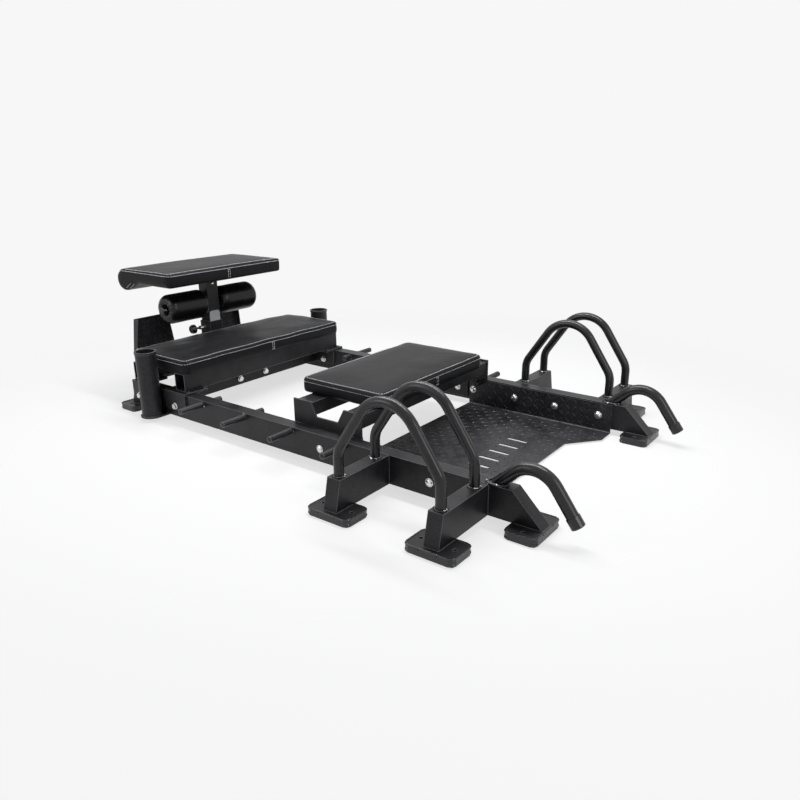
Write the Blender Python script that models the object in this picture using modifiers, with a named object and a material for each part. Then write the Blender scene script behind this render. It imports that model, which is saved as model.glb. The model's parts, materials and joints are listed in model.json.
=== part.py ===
"""Low glute machine: two steel side rails that carry a tread plate tray, two fixed pads and a height
post with foam rollers and a third pad.

Lengths are in metres. X runs along the machine, from the rollers (-X) to the end handles (+X), Y runs
across it, with the left side at +Y, and Z is up from the floor. While it is modelled, x = 0 is the
middle of the rear outriggers; at the end the whole machine is moved so that the origin is midway.
"""
import bmesh
import bpy
from math import atan2, cos, hypot, pi, radians, sin, tan
from mathutils import Matrix, Vector

# Gaps: between touching pieces, around a shaft that turns or slides, around a bolt in its hole.
GAP = 0.0003
RUN_GAP = 0.0003
HOLE_GAP = 0.0004

# Feet: a steel plate let into a rubber shoe, whose rim stands round it.
SHOE_H = 0.018
SHOE_RIM_W = 0.0045
SHOE_RIM_RISE = 0.0025
SHOE_NOTCH_W = 0.005
SHOE_NOTCH_AT = 0.030
FOOT_PLATE_T = 0.005
FOOT_L = 0.153
FOOT_W = 0.093
FOOT_CORNER_R = 0.012
FOOT_HOLE_R = 0.0065
FOOT_HOLE_EDGE = 0.021

# Side rails and outriggers: 50 x 100 tube.
TUBE_W = 0.050
TUBE_H = 0.100
TUBE_WALL = 0.003
RAIL_Y = 0.441
RAIL_FRONT_X = 0.463
RAIL_FRONT_SLOPE = 45.0
RAIL_REAR_X = -1.348
RAIL_REAR_SLOPE = 17.2
OUTRIGGER_GAP = 0.3627
OUTRIGGER_END_Y = 0.700
OUTRIGGER_SLOPE = 12.4
REAR_FOOT_X = -1.3675
REAR_FOOT_Y = 0.424
FRONT_FOOT_X = 0.5185
OUTRIGGER_FOOT_Y = 0.6885

# Grip hoops: bent 32 mm tube, one leg on each outrigger.
HOOP_R = 0.016
HOOP_WALL = 0.0025
HOOP_OUTER_Y = 0.675
HOOP_INNER_Y = 0.504
HOOP_LEG_H = 0.058
HOOP_KNEE_R = 0.080
HOOP_KNEE_ANGLE = 34.0
HOOP_TOP_R = 0.109

# End handles: 38 mm tube, up from the rail, over and down past its end.
HANDLE_R = 0.019
HANDLE_WALL = 0.0025
HANDLE_BASE_X = 0.403
HANDLE_RISE = 42.0
HANDLE_RISE_L = 0.070
HANDLE_BEND_R = 0.088
HANDLE_BEND = 96.0
HANDLE_TAIL_L = 0.119
HANDLE_CAP_R = 0.0215
HANDLE_CAP_L = 0.034
HANDLE_CAP_END = 0.004

# Band pegs through the rails.
PEG_R = 0.012
PEG_PITCH = 0.244
PEG_COUNT = 4
PEG_FIRST_X = -0.900
PEG_DROP = 0.016
PEG_OUT = 0.104
PEG_IN = 0.040

# Tread plate tray.
TRAY_T = 0.004
TRAY_FLOOR_Z = 0.005
TRAY_REAR_X = -0.216
TRAY_FRONT_X = 0.415
TRAY_LIP_DROP = 0.004
NOTCH_X = 0.320
NOTCH_Y = 0.216
NOTCH_MOUTH_Y = 0.331
SLOT_COUNT = 5
SLOT_L = 0.085
SLOT_W = 0.018
SLOT_PITCH = 0.070
SLOT_X = 0.162

# Fixings: domed M10 bolts, hexagon M12 bolts and button screws. SINK is how far a fixing reaches into
# the piece that it is one body with.
SINK = 0.001
DOME_BOLT_R = 0.005
DOME_HEAD_R = 0.0115
DOME_HEAD_H = 0.007
SCREW_R = 0.004
SCREW_HEAD_R = 0.007
SCREW_HEAD_H = 0.004
TRAY_BOLT_X = (-0.198, 0.0, 0.181, 0.3627)
SIDE_PLATE_BOLT_X = -0.275
RAIL_BOLT_DROP = 0.052
HEX_BOLT_R = 0.006
HEX_HEAD_R = 0.0115
HEX_HEAD_H = 0.008
WASHER_R = 0.0145
WASHER_H = 0.0025

# Pads: vinyl over foam on a plywood board that sits in the pad's underside.
BOARD_T = 0.012
BOARD_IN = 0.014
PAD_CORNER_R = 0.022
PAD_EDGE_R = 0.009
PAD_CROWN = 0.006
PAD_WAIST = 0.003

# Front pad and what carries it.
FRONT_PAD_X = (-0.490, -0.105)
FRONT_PAD_HALF = 0.330
FRONT_PAD_RISE = 0.0815
FRONT_PAD_EDGE_H = 0.052
SIDE_PLATE_T = 0.006
SIDE_PLATE_TAB_X = (-0.392, -0.225)
SIDE_PLATE_TAB_DROP = 0.090
SIDE_PLATE_TOP = 0.088
SIDE_PLATE_WAIST = 0.037
SIDE_PLATE_X = (-0.442, -0.360, -0.334, -0.236, -0.208, -0.130)
PAD_BEAM_WALL = 0.003
FRONT_BEAM_X = (-0.205, -0.133)
FRONT_BEAM_H = 0.046
REAR_BEAM_X = (-0.437, -0.363)
REAR_BEAM_H = 0.051
FRONT_SCREW_Y = 0.200

# Kneeling pad and what carries it.
KNEE_PAD_X = (-1.355, -1.000)
KNEE_PAD_HALF = 0.460
KNEE_PAD_EDGE_H = 0.054
KNEE_BEAM_W = 0.060
KNEE_BEAM_H = 0.073
KNEE_BEAM_HALF = 0.454
KNEE_BEAM_FRONT_X = -1.017
KNEE_SCREW_Y = 0.250
SADDLE_T = 0.008
SADDLE_WING_Y = 0.360
SADDLE_DROP = 0.070
SADDLE_CORNER_R = 0.014
SADDLE_SCREW_Y = (0.372, 0.451)
SADDLE_SCREW_IN = 0.010
FRONT_SADDLE_X = (-1.129, -0.995)
REAR_SADDLE_X = (-1.356, -1.262)
SADDLE_BOLT_X = (-1.063, -1.306)

# Crossbeam between the rails and the spine beam from it to the post's sleeve.
CROSS_X = (-1.190, -1.130)
CROSS_TOP_DROP = 0.013
CROSS_H = 0.060
SPINE_W = 0.060
SPINE_FLANGE_T = 0.008
SPINE_FLANGE_HALF = 0.100
CROSS_BOLT_Y = 0.076
CROSS_BOLT_DROP = 0.046

# Storage tubes on the rails' outer faces, clear of the kneeling pad's ends.
STORE_X = -1.180
STORE_R = 0.041
STORE_PAD_CLEAR = 0.006
STORE_WALL = 0.003
STORE_TOP = 0.290
STORE_RIM_R = 0.0435
STORE_RIM_H = 0.008
STORE_BASE_R = 0.047
STORE_BASE_T = 0.007

# Sleeve, height post, axle and rollers.
SLEEVE_W = 0.070
SLEEVE_WALL = 0.0045
SLEEVE_TOP = 0.303
SLEEVE_BOTTOM = 0.023
POST_X = -1.394
POST_GAP = 0.0005
POST_WALL = 0.003
POST_BOTTOM = 0.063
POST_PLATE = 0.150
POST_PLATE_T = 0.006
POST_BOLT_Z = 0.476
TOP_SCREW_IN = (0.015, 0.020)
PIN_HOLE_PITCH = 0.040
PIN_HOLES_BELOW = 3
PIN_HOLES_ABOVE = 0
AXLE_R = 0.0125
AXLE_Z = 0.388
ROLLER_R = 0.065
ROLLER_END_R = 0.020
ROLLER_INNER_Y = 0.038
ROLLER_OUTER_Y = 0.248
ROLLER_DISH = 0.006
AXLE_CAP_R = 0.021
AXLE_CAP_H = 0.006
AXLE_CAP_GRIP = 0.012

# Pop pin on the sleeve's right side. It is drawn just clear of the post.
PIN_Z = 0.276
PIN_R = 0.005
PIN_TRAVEL = 0.012
PIN_BARREL_R = 0.0095
PIN_BARREL_L = 0.034
PIN_CAVITY_R = 0.0078
PIN_CAVITY_END = 0.003
PIN_COLLAR_R = 0.0072
PIN_COLLAR_T = 0.002
PIN_NECK = 0.024
KNOB_R = 0.021
KNOB_L = 0.030
SPRING_WIRE_R = 0.0006
SPRING_TURNS = 5

# Top pad, with a roll along its rear edge.
TOP_PAD_X = (-1.570, -1.236)
TOP_PAD_HALF = 0.322
TOP_PAD_RISE = 0.382
TOP_PAD_EDGE_H = 0.060
ROLL_R = 0.048
TOP_BOARD_X = (-1.495, -1.252)

# Toe plates behind the rollers, and the beam that carries them.
TOE_X = -1.576
TOE_T = 0.004
TOE_TOP_RISE = 0.210
TOE_KNEE_RISE = 0.050
TOE_BOTTOM_DROP = 0.096
TOE_INNER_Y = (0.086, 0.109)
TOE_OUTER_Y = (0.299, 0.311, 0.290)
TOE_LIP = (0.020, 0.035)
TOE_BEAM_W = 0.040
TOE_BEAM_TOP_DROP = 0.020
TOE_BEAM_HALF = 0.288

RAIL_BOTTOM = SHOE_H + GAP + FOOT_PLATE_T
RAIL_TOP = RAIL_BOTTOM + TUBE_H
RAIL_OUT = RAIL_Y + TUBE_W / 2
RAIL_IN = RAIL_Y - TUBE_W / 2
BOLT_Z = RAIL_TOP - RAIL_BOLT_DROP

# Finishes: sRGB grey or colour, metallic value and roughness.
FINISHES = {
    "black powder coat": ((0.13, 0.13, 0.14), 0.0, 0.48),
    "zinc": ((0.72, 0.72, 0.70), 1.0, 0.30),
    "rubber": ((0.07, 0.07, 0.07), 0.0, 0.42),
    "black plastic": ((0.08, 0.08, 0.08), 0.0, 0.35),
    "vinyl": ((0.16, 0.16, 0.17), 0.0, 0.50),
    "plywood": ((0.55, 0.42, 0.28), 0.0, 0.75),
}

for old in list(bpy.data.objects):
    bpy.data.objects.remove(old)

parts = bpy.data.collections.new("glute_machine")
cutters = bpy.data.collections.new("cutters")
bpy.context.scene.collection.children.link(parts)
bpy.context.scene.collection.children.link(cutters)


def finish(obj, kind):
    """Give an object a material of its own."""
    colour, metallic, roughness = FINISHES[kind]
    material = bpy.data.materials.new(obj.name + " " + kind)
    material.use_nodes = True
    shader = material.node_tree.nodes["Principled BSDF"]
    shader.inputs["Base Color"].default_value = tuple(c ** 2.2 for c in colour) + (1.0,)
    shader.inputs["Metallic"].default_value = metallic
    shader.inputs["Roughness"].default_value = roughness
    obj.data.materials.append(material)


def add_part(name, mesh, kind, smooth=None):
    """Link a mesh as a named part. smooth is the angle, in degrees, above which edges stay sharp."""
    obj = bpy.data.objects.new(name, mesh)
    parts.objects.link(obj)
    finish(obj, kind)
    if smooth:
        mesh.shade_smooth()
        mesh.set_sharp_from_angle(angle=radians(smooth))
    return obj


def hide_cutter(mesh):
    """Link a mesh as a cutter, which is drawn as wire and never rendered."""
    obj = bpy.data.objects.new("cutter", mesh)
    cutters.objects.link(obj)
    obj.hide_render = True
    obj.display_type = "WIRE"
    return obj


def boolean(obj, mesh, operation):
    """Cut a mesh from an object, or join it on."""
    modifier = obj.modifiers.new(operation.lower(), "BOOLEAN")
    modifier.operation = operation
    modifier.solver = "EXACT"
    modifier.object = hide_cutter(mesh)


def cut(obj, *meshes):
    for mesh in meshes:
        boolean(obj, mesh, "DIFFERENCE")


def join(obj, *meshes):
    for mesh in meshes:
        boolean(obj, mesh, "UNION")


def mesh_from(bm, name):
    mesh = bpy.data.meshes.new(name)
    bm.to_mesh(mesh)
    bm.free()
    return mesh


def merge(name, meshes):
    """Put several separate bodies into one mesh."""
    bm = bmesh.new()
    for mesh in meshes:
        bm.from_mesh(mesh)
        bpy.data.meshes.remove(mesh)
    return mesh_from(bm, name)


def block(x, y, z):
    """A box mesh between two values along each axis."""
    size = (x[1] - x[0], y[1] - y[0], z[1] - z[0])
    centre = ((x[0] + x[1]) / 2, (y[0] + y[1]) / 2, (z[0] + z[1]) / 2)
    bm = bmesh.new()
    matrix = Matrix.Translation(centre) @ Matrix.Diagonal((*size, 1.0))
    bmesh.ops.create_cube(bm, size=1.0, matrix=matrix)
    return mesh_from(bm, "block")


AXIS_TURN = {"X": Matrix.Rotation(pi / 2, 4, "Y"), "Y": Matrix.Rotation(-pi / 2, 4, "X"), "Z": Matrix()}


def rod(radius, axis, start, end, centre, sides=12):
    """A cylinder mesh along an axis, from start to end. centre gives its two other coordinates."""
    middle = (start + end) / 2
    place = {"X": (middle, *centre), "Y": (centre[0], middle, centre[1]), "Z": (*centre, middle)}
    bm = bmesh.new()
    matrix = Matrix.Translation(place[axis]) @ AXIS_TURN[axis]
    bmesh.ops.create_cone(bm, cap_ends=True, segments=sides, radius1=radius, radius2=radius,
                          depth=abs(end - start), matrix=matrix)
    return mesh_from(bm, "rod")


def hole(radius, axis, start, end, centre, sides=8):
    """A cutter for a many-sided hole whose flats clear a shaft of this radius."""
    return rod((radius + HOLE_GAP) / cos(pi / sides), axis, start, end, centre, sides)


PLANE_TURN = {
    "XY": Matrix(),
    "XZ": Matrix(((1, 0, 0, 0), (0, 0, -1, 0), (0, 1, 0, 0), (0, 0, 0, 1))),
    "YZ": Matrix(((0, 0, 1, 0), (1, 0, 0, 0), (0, 1, 0, 0), (0, 0, 0, 1))),
}


def sheet(outline, plane, low, high):
    """A flat plate mesh: an outline in a plane, made thick from low to high across the plane."""
    first, last = (-low, -high) if plane == "XZ" else (low, high)
    bm = bmesh.new()
    rings = [[bm.verts.new((u, v, w)) for u, v in outline] for w in (first, last)]
    bm.faces.new(rings[0])
    bm.faces.new(rings[1])
    for i in range(len(outline)):
        j = (i + 1) % len(outline)
        bm.faces.new((rings[0][i], rings[0][j], rings[1][j], rings[1][i]))
    bm.transform(PLANE_TURN[plane])
    bmesh.ops.recalc_face_normals(bm, faces=bm.faces)
    return mesh_from(bm, "sheet")


def sweep(path, y, radii, sides, floor=None):
    """A round bar, or a pipe if there are two radii, along a path of (x, z) points at one y.

    floor is the height at which a level cut ends its first length.
    """
    points = [Vector(p) for p in path]
    runs = [(b - a).normalized() for a, b in zip(points, points[1:])]
    bm = bmesh.new()
    skins = []
    for radius in radii:
        skin = []
        for i, point in enumerate(points):
            before, after = runs[max(i - 1, 0)], runs[min(i, len(runs) - 1)]
            along = (before + after).normalized()
            reach = radius / along.dot(after)
            turn = [2 * pi * (k + 0.5) / sides for k in range(sides)]
            rows = [(point.x - along.y * reach * cos(t), y + radius * sin(t),
                     point.y + along.x * reach * cos(t)) for t in turn]
            if i == 0 and floor is not None:
                slope = runs[0].x / runs[0].y
                rows = [(px + (floor - pz) * slope, py, floor) for px, py, pz in rows]
            skin.append([bm.verts.new(row) for row in rows])
        skins.append(skin)
        for a, b in zip(skin, skin[1:]):
            for k in range(sides):
                m = (k + 1) % sides
                bm.faces.new((a[k], a[m], b[m], b[k]))
    for end in (0, -1):
        if len(skins) == 1:
            bm.faces.new(skins[0][end])
            continue
        outer, inner = skins[0][end], skins[1][end]
        for k in range(sides):
            m = (k + 1) % sides
            bm.faces.new((outer[k], outer[m], inner[m], inner[k]))
    bmesh.ops.recalc_face_normals(bm, faces=bm.faces)
    return mesh_from(bm, "sweep")


def coil(centre, radius, start, end, turns, wire, steps=7, sides=5):
    """A closed spring wire about an axis along Y."""
    bm = bmesh.new()
    rings = []
    count = turns * steps
    for i in range(count + 1):
        angle = 2 * pi * i / steps
        out = Vector((cos(angle), 0.0, sin(angle)))
        middle = Vector((centre[0], start + (end - start) * i / count, centre[1])) + out * radius
        ring_turn = [2 * pi * k / sides for k in range(sides)]
        rings.append([bm.verts.new(middle + out * wire * cos(t) + Vector((0.0, wire * sin(t), 0.0)))
                      for t in ring_turn])
    for a, b in zip(rings, rings[1:]):
        for k in range(sides):
            m = (k + 1) % sides
            bm.faces.new((a[k], a[m], b[m], b[k]))
    bm.faces.new(rings[0])
    bm.faces.new(rings[-1])
    bmesh.ops.recalc_face_normals(bm, faces=bm.faces)
    return mesh_from(bm, "coil")


def turned(profile, steps=16):
    """A closed profile of (radius, height) points, turned about Z with a Screw modifier."""
    bm = bmesh.new()
    verts = [bm.verts.new((r, 0.0, h)) for r, h in profile]
    pairs = list(zip(verts, verts[1:]))
    if profile[0][0] > 0.0 or profile[-1][0] > 0.0:
        pairs.append((verts[-1], verts[0]))
    for a, b in pairs:
        bm.edges.new((a, b))
    temporary = bpy.data.objects.new("profile", mesh_from(bm, "profile"))
    bpy.context.scene.collection.objects.link(temporary)
    screw = temporary.modifiers.new("turn", "SCREW")
    screw.steps = steps
    screw.render_steps = steps
    screw.use_merge_vertices = True
    screw.merge_threshold = 0.00001
    bpy.context.view_layer.update()
    evaluated = temporary.evaluated_get(bpy.context.evaluated_depsgraph_get())
    mesh = bpy.data.meshes.new_from_object(evaluated)
    source = temporary.data
    bpy.data.objects.remove(temporary)
    bpy.data.meshes.remove(source)
    bm = bmesh.new()
    bm.from_mesh(mesh)
    bmesh.ops.remove_doubles(bm, verts=bm.verts, dist=0.00001)
    bmesh.ops.recalc_face_normals(bm, faces=bm.faces)
    bpy.data.meshes.remove(mesh)
    return mesh_from(bm, "turned")


def aim(mesh, axis, place):
    """Point a turned mesh along an axis, such as +Y or -Y, and move it to a place."""
    turn = Vector((0.0, 0.0, 1.0)).rotation_difference(Vector(axis)).to_matrix().to_4x4()
    mesh.transform(Matrix.Translation(place) @ turn)
    return mesh


def arc(centre, radius, start, end, steps):
    """Points on an arc in a plane, between two angles in degrees."""
    angles = [radians(start + (end - start) * i / steps) for i in range(steps + 1)]
    return [(centre[0] + radius * cos(a), centre[1] + radius * sin(a)) for a in angles]


def rounded_box(low, high, radius, steps=3):
    """The outline of a rectangle with round corners."""
    x0, y0 = low
    x1, y1 = high
    points = arc((x1 - radius, y0 + radius), radius, -90, 0, steps)
    points += arc((x1 - radius, y1 - radius), radius, 0, 90, steps)
    points += arc((x0 + radius, y1 - radius), radius, 90, 180, steps)
    points += arc((x0 + radius, y0 + radius), radius, 180, 270, steps)
    return points


def side_name(side):
    return "left" if side > 0 else "right"


def span(side, near, far):
    """Two distances from the centre plane as a rising pair of Y values on one side."""
    return tuple(sorted((side * near, side * far)))


SIDES = (1, -1)


def dome(height):
    """Half the profile of a domed head whose flat side is at a height along its bolt."""
    shoulder = (DOME_HEAD_R * 0.7, height + DOME_HEAD_H * 0.7)
    return [(DOME_HEAD_R, height), shoulder, (0.0, height + DOME_HEAD_H)]


def dome_bolt(axis, place, start, end):
    """A bolt with a domed head at each end. Its first head sinks into the piece it is fixed to."""
    head = [(r, start - h) for r, h in reversed(dome(SINK / 2))]
    shank = [(DOME_HEAD_R, start + SINK), (DOME_BOLT_R, start + SINK), (DOME_BOLT_R, end)]
    return aim(turned(head + shank + dome(end), 8), axis, place)


def button_screw(place, top, length):
    """A screw that hangs from a height and has its head at its lower end."""
    low = top - length
    profile = [(0.0, low - SCREW_HEAD_H), (SCREW_HEAD_R * 0.8, low - SCREW_HEAD_H), (SCREW_HEAD_R, low),
               (SCREW_R, low), (SCREW_R, top), (0.0, top)]
    return aim(turned(profile, 8), (0, 0, 1), (*place, 0.0))


def screw_holes(places, low, high):
    return merge("holes", [hole(SCREW_R, "Z", low, high, place) for place in places])


def hex_bolt(axis, start, end, centre):
    """The bodies of a hexagon bolt with a washer at each end. start and end are the washers' seats."""
    side = 1 if end > start else -1
    bodies = [rod(HEX_BOLT_R, axis, start - side * HEX_HEAD_H, end + side * HEX_HEAD_H, centre, 8)]
    for seat, out in ((start, -side), (end, side)):
        head = sorted((seat + out * WASHER_H / 2, seat + out * (WASHER_H + HEX_HEAD_H)))
        bodies.append(rod(WASHER_R, axis, *sorted((seat, seat + out * WASHER_H)), centre, 12))
        bodies.append(rod(HEX_HEAD_R, axis, *head, centre, 6))
    return bodies


def make_hex_bolt(name, axis, start, end, centre):
    shank, *others = hex_bolt(axis, start, end, centre)
    join(add_part(name, shank, "zinc"), *others)


# Feet: a steel plate, welded under its tube, let into a rubber shoe. Two holes go through both. A
# foot's place is its middle and the turn that points its own Y axis outward.

HOLE_AT = FOOT_L / 2 - FOOT_HOLE_EDGE
SHOE_TOP = RAIL_BOTTOM + SHOE_RIM_RISE
OUTRIGGER_X = (0.0, OUTRIGGER_GAP)


def on_foot(mesh, place):
    x, y, turn = place
    mesh.transform(Matrix.Translation((x, y, 0.0)) @ Matrix.Rotation(radians(turn), 4, "Z"))
    return mesh


def foot_sheet(place, inset, low, high):
    half_l, half_w = FOOT_L / 2 - inset, FOOT_W / 2 - inset
    outline = rounded_box((-half_l, -half_w), (half_l, half_w), FOOT_CORNER_R - inset, 2)
    return on_foot(sheet(outline, "XY", low, high), place)


def foot_holes(place):
    rods = [rod(FOOT_HOLE_R, "Z", -SHOE_H, 2 * SHOE_TOP, (s * HOLE_AT, 0.0), 8) for s in SIDES]
    return on_foot(merge("holes", rods), place)


def add_foot_plate(obj, *place):
    """Weld a foot plate on: it reaches a little into the wall of the tube that it carries."""
    join(obj, foot_sheet(place, 0.0, SHOE_H + GAP, RAIL_BOTTOM + SINK))
    cut(obj, foot_holes(place))


def make_shoe(name, shift, *place):
    """A shoe with its rim. The rim dips under the tube, which may be off middle, and has two notches."""
    shoe = add_part(name, foot_sheet(place, -SHOE_RIM_W, 0.0, SHOE_TOP), "rubber")
    half = TUBE_W / 2 + GAP
    dip = block((shift - half, shift + half), (-FOOT_W, 0.0), (RAIL_BOTTOM - GAP, 2 * SHOE_TOP))
    notches = [block((s * SHOE_NOTCH_AT - SHOE_NOTCH_W / 2, s * SHOE_NOTCH_AT + SHOE_NOTCH_W / 2),
                     (0.0, FOOT_W), (SHOE_H + GAP, 2 * SHOE_TOP)) for s in SIDES]
    cut(shoe, foot_sheet(place, -GAP, SHOE_H, 2 * SHOE_TOP), foot_holes(place), on_foot(dip, place),
        on_foot(merge("notches", notches), place))


for side in SIDES:
    label = side_name(side)
    outward = 90.0 - side * 90.0
    for end, x in zip(("rear", "front"), OUTRIGGER_X):
        make_shoe("rubber_foot_outrigger_" + end + "_" + label, 0.0, x, side * OUTRIGGER_FOOT_Y, outward)
    make_shoe("rubber_foot_rail_front_" + label, 0.0, FRONT_FOOT_X, side * RAIL_Y, -90.0)
    make_shoe("rubber_foot_rail_rear_" + label, side * (RAIL_Y - REAR_FOOT_Y), REAR_FOOT_X,
              side * REAR_FOOT_Y, 90.0)


# Side rails.

RAIL_FRONT_LOW_X = RAIL_FRONT_X + TUBE_H * tan(radians(RAIL_FRONT_SLOPE))
RAIL_REAR_LOW_X = RAIL_REAR_X - TUBE_H * tan(radians(RAIL_REAR_SLOPE))
PEG_X = [PEG_FIRST_X + i * PEG_PITCH for i in range(PEG_COUNT)]
PEG_Z = RAIL_TOP - PEG_DROP


def rail_outline(inset):
    """The rail's side view, drawn in by a wall thickness."""
    front = inset / cos(radians(RAIL_FRONT_SLOPE))
    rear = inset / cos(radians(RAIL_REAR_SLOPE))
    front_slope = tan(radians(RAIL_FRONT_SLOPE)) * inset
    rear_slope = tan(radians(RAIL_REAR_SLOPE)) * inset
    low, high = RAIL_BOTTOM + inset, RAIL_TOP - inset
    return [
        (RAIL_REAR_LOW_X + rear + rear_slope, low),
        (RAIL_FRONT_LOW_X - front - front_slope, low),
        (RAIL_FRONT_X - front + front_slope, high),
        (RAIL_REAR_X + rear - rear_slope, high),
    ]


def make_rail(side):
    """A rail with the pegs through it and the foot plates under its ends, all welded."""
    y = span(side, RAIL_IN, RAIL_OUT)
    cavity = (y[0] + TUBE_WALL, y[1] - TUBE_WALL)
    through = (y[0] - TUBE_WALL, y[1] + TUBE_WALL)
    rail = add_part("side_rail_" + side_name(side), sheet(rail_outline(0.0), "XZ", *y), "black powder coat")
    cut(rail, sheet(rail_outline(TUBE_WALL), "XZ", *cavity))
    holes = [hole(DOME_BOLT_R, "Y", *through, (x, BOLT_Z)) for x in (SIDE_PLATE_BOLT_X, *TRAY_BOLT_X)]
    holes += [hole(HEX_BOLT_R, "Y", *through, (x, BOLT_Z)) for x in SADDLE_BOLT_X]
    cut(rail, merge("holes", holes))
    peg_y = span(side, RAIL_IN - PEG_IN, RAIL_OUT + PEG_OUT)
    join(rail, merge("pegs", [rod(PEG_R, "Y", *peg_y, (x, PEG_Z), 10) for x in PEG_X]))
    add_foot_plate(rail, FRONT_FOOT_X, side * RAIL_Y, 90.0)
    add_foot_plate(rail, REAR_FOOT_X, side * REAR_FOOT_Y, 90.0)


for side in SIDES:
    make_rail(side)


# Outriggers: square to the rail, with a sloping closed end, open where they meet the rail.

def make_outrigger(side, x, end):
    def outline(inset, inner):
        slope = tan(radians(OUTRIGGER_SLOPE))
        low, high = RAIL_BOTTOM + inset, RAIL_TOP - inset
        top_y = OUTRIGGER_END_Y - inset / cos(radians(OUTRIGGER_SLOPE)) + slope * inset
        low_y = top_y + slope * (high - low)
        points = [(inner, low), (low_y, low), (top_y, high), (inner, high)]
        return [(side * u, v) for u, v in points]
    inner = RAIL_OUT + GAP
    half = TUBE_W / 2
    body = sheet(outline(0.0, inner), "YZ", x - half, x + half)
    name = "outrigger_" + end + "_" + side_name(side)
    outrigger = add_part(name, body, "black powder coat")
    hollow = sheet(outline(TUBE_WALL, inner - TUBE_WALL), "YZ", x - half + TUBE_WALL, x + half - TUBE_WALL)
    cut(outrigger, hollow)
    add_foot_plate(outrigger, x, side * OUTRIGGER_FOOT_Y, 0.0)


for side in SIDES:
    make_outrigger(side, OUTRIGGER_X[0], "rear")
    make_outrigger(side, OUTRIGGER_X[1], "front")


# Grip hoops.

def hoop_path():
    """Centre line of a hoop: two upright legs, a knee in each, straight slopes and a round top."""
    knee = radians(HOOP_KNEE_ANGLE)
    rise = RAIL_TOP + HOOP_LEG_H
    left = arc((HOOP_KNEE_R, rise), HOOP_KNEE_R, 180, 180 - HOOP_KNEE_ANGLE, 2)
    x0, z0 = left[-1]
    middle = OUTRIGGER_GAP / 2
    run = middle - x0 - HOOP_TOP_R * cos(knee)
    z1 = z0 + run / tan(knee)
    centre_z = z1 - HOOP_TOP_R * sin(knee)
    top = arc((middle, centre_z), HOOP_TOP_R, 180 - HOOP_KNEE_ANGLE, 90, 3)
    half = [(0.0, RAIL_TOP + GAP)] + left + top
    return half + [(2 * middle - x, z) for x, z in reversed(half[:-1])]


for side in SIDES:
    for where, y in (("outer", HOOP_OUTER_Y), ("inner", HOOP_INNER_Y)):
        hoop = sweep(hoop_path(), side * y, (HOOP_R, HOOP_R - HOOP_WALL), 10)
        add_part("grip_hoop_" + where + "_" + side_name(side), hoop, "black powder coat", 50)


# End handles and their caps.

def handle_path():
    """Centre line of an end handle."""
    rise = radians(HANDLE_RISE)
    up = (cos(rise), sin(rise))
    bend = (HANDLE_BASE_X + HANDLE_RISE_L * up[0], RAIL_TOP + HANDLE_RISE_L * up[1])
    centre = (bend[0] + HANDLE_BEND_R * up[1], bend[1] - HANDLE_BEND_R * up[0])
    curve = arc(centre, HANDLE_BEND_R, 90 + HANDLE_RISE, 90 + HANDLE_RISE - HANDLE_BEND, 8)
    fall = radians(HANDLE_BEND - HANDLE_RISE)
    tip = (curve[-1][0] + HANDLE_TAIL_L * cos(fall), curve[-1][1] - HANDLE_TAIL_L * sin(fall))
    return [(HANDLE_BASE_X, RAIL_TOP)] + curve + [tip]


def handle_tip(y):
    (x0, z0), (x1, z1) = handle_path()[-2:]
    end = Vector((x1, y, z1))
    return end, (end - Vector((x0, y, z0))).normalized()


for side in SIDES:
    y = side * RAIL_Y
    body = sweep(handle_path(), y, (HANDLE_R, HANDLE_R - HANDLE_WALL), 10, RAIL_TOP + GAP)
    add_part("end_handle_" + side_name(side), body, "black powder coat", 50)
    tip, along = handle_tip(y)
    bore = (HANDLE_R + GAP) / cos(pi / 16)
    sleeve_end = -(HANDLE_CAP_L - HANDLE_CAP_END)
    profile = [(0.0, GAP), (bore, GAP), (bore, sleeve_end), (HANDLE_CAP_R, sleeve_end),
               (HANDLE_CAP_R, HANDLE_CAP_END * 0.4), (HANDLE_CAP_R * 0.86, HANDLE_CAP_END),
               (0.0, HANDLE_CAP_END)]
    add_part("handle_cap_" + side_name(side), aim(turned(profile, 16), along, tip), "black plastic", 50)


# Tray: one folded sheet with a lip up each rail, a notch in its front edge and plain slots.

TRAY_OUT = RAIL_IN - GAP
TRAY_IN = TRAY_OUT - TRAY_T
TRAY_FLOOR_TOP = TRAY_FLOOR_Z + TRAY_T
TRAY_LIP_TOP = RAIL_TOP - TRAY_LIP_DROP
TRAY_CUT_Z = (TRAY_FLOOR_Z - TRAY_T, TRAY_FLOOR_TOP + TRAY_T)
tray_section = [
    (-TRAY_OUT, TRAY_FLOOR_Z), (TRAY_OUT, TRAY_FLOOR_Z), (TRAY_OUT, TRAY_LIP_TOP),
    (TRAY_IN, TRAY_LIP_TOP), (TRAY_IN, TRAY_FLOOR_TOP), (-TRAY_IN, TRAY_FLOOR_TOP),
    (-TRAY_IN, TRAY_LIP_TOP), (-TRAY_OUT, TRAY_LIP_TOP),
]
past = TRAY_FRONT_X - NOTCH_X
notch = [
    (NOTCH_X, -NOTCH_Y), (NOTCH_X, NOTCH_Y), (TRAY_FRONT_X, NOTCH_MOUTH_Y),
    (TRAY_FRONT_X + past, NOTCH_MOUTH_Y), (TRAY_FRONT_X + past, -NOTCH_MOUTH_Y),
    (TRAY_FRONT_X, -NOTCH_MOUTH_Y),
]
slots = []
for i in range(SLOT_COUNT):
    y = (i - (SLOT_COUNT - 1) / 2) * SLOT_PITCH
    low = (SLOT_X - SLOT_L / 2, y - SLOT_W / 2)
    high = (SLOT_X + SLOT_L / 2, y + SLOT_W / 2)
    outline = rounded_box(low, high, SLOT_W / 2 * 0.98, 2)
    slots.append(sheet(outline, "XY", *TRAY_CUT_Z))
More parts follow.
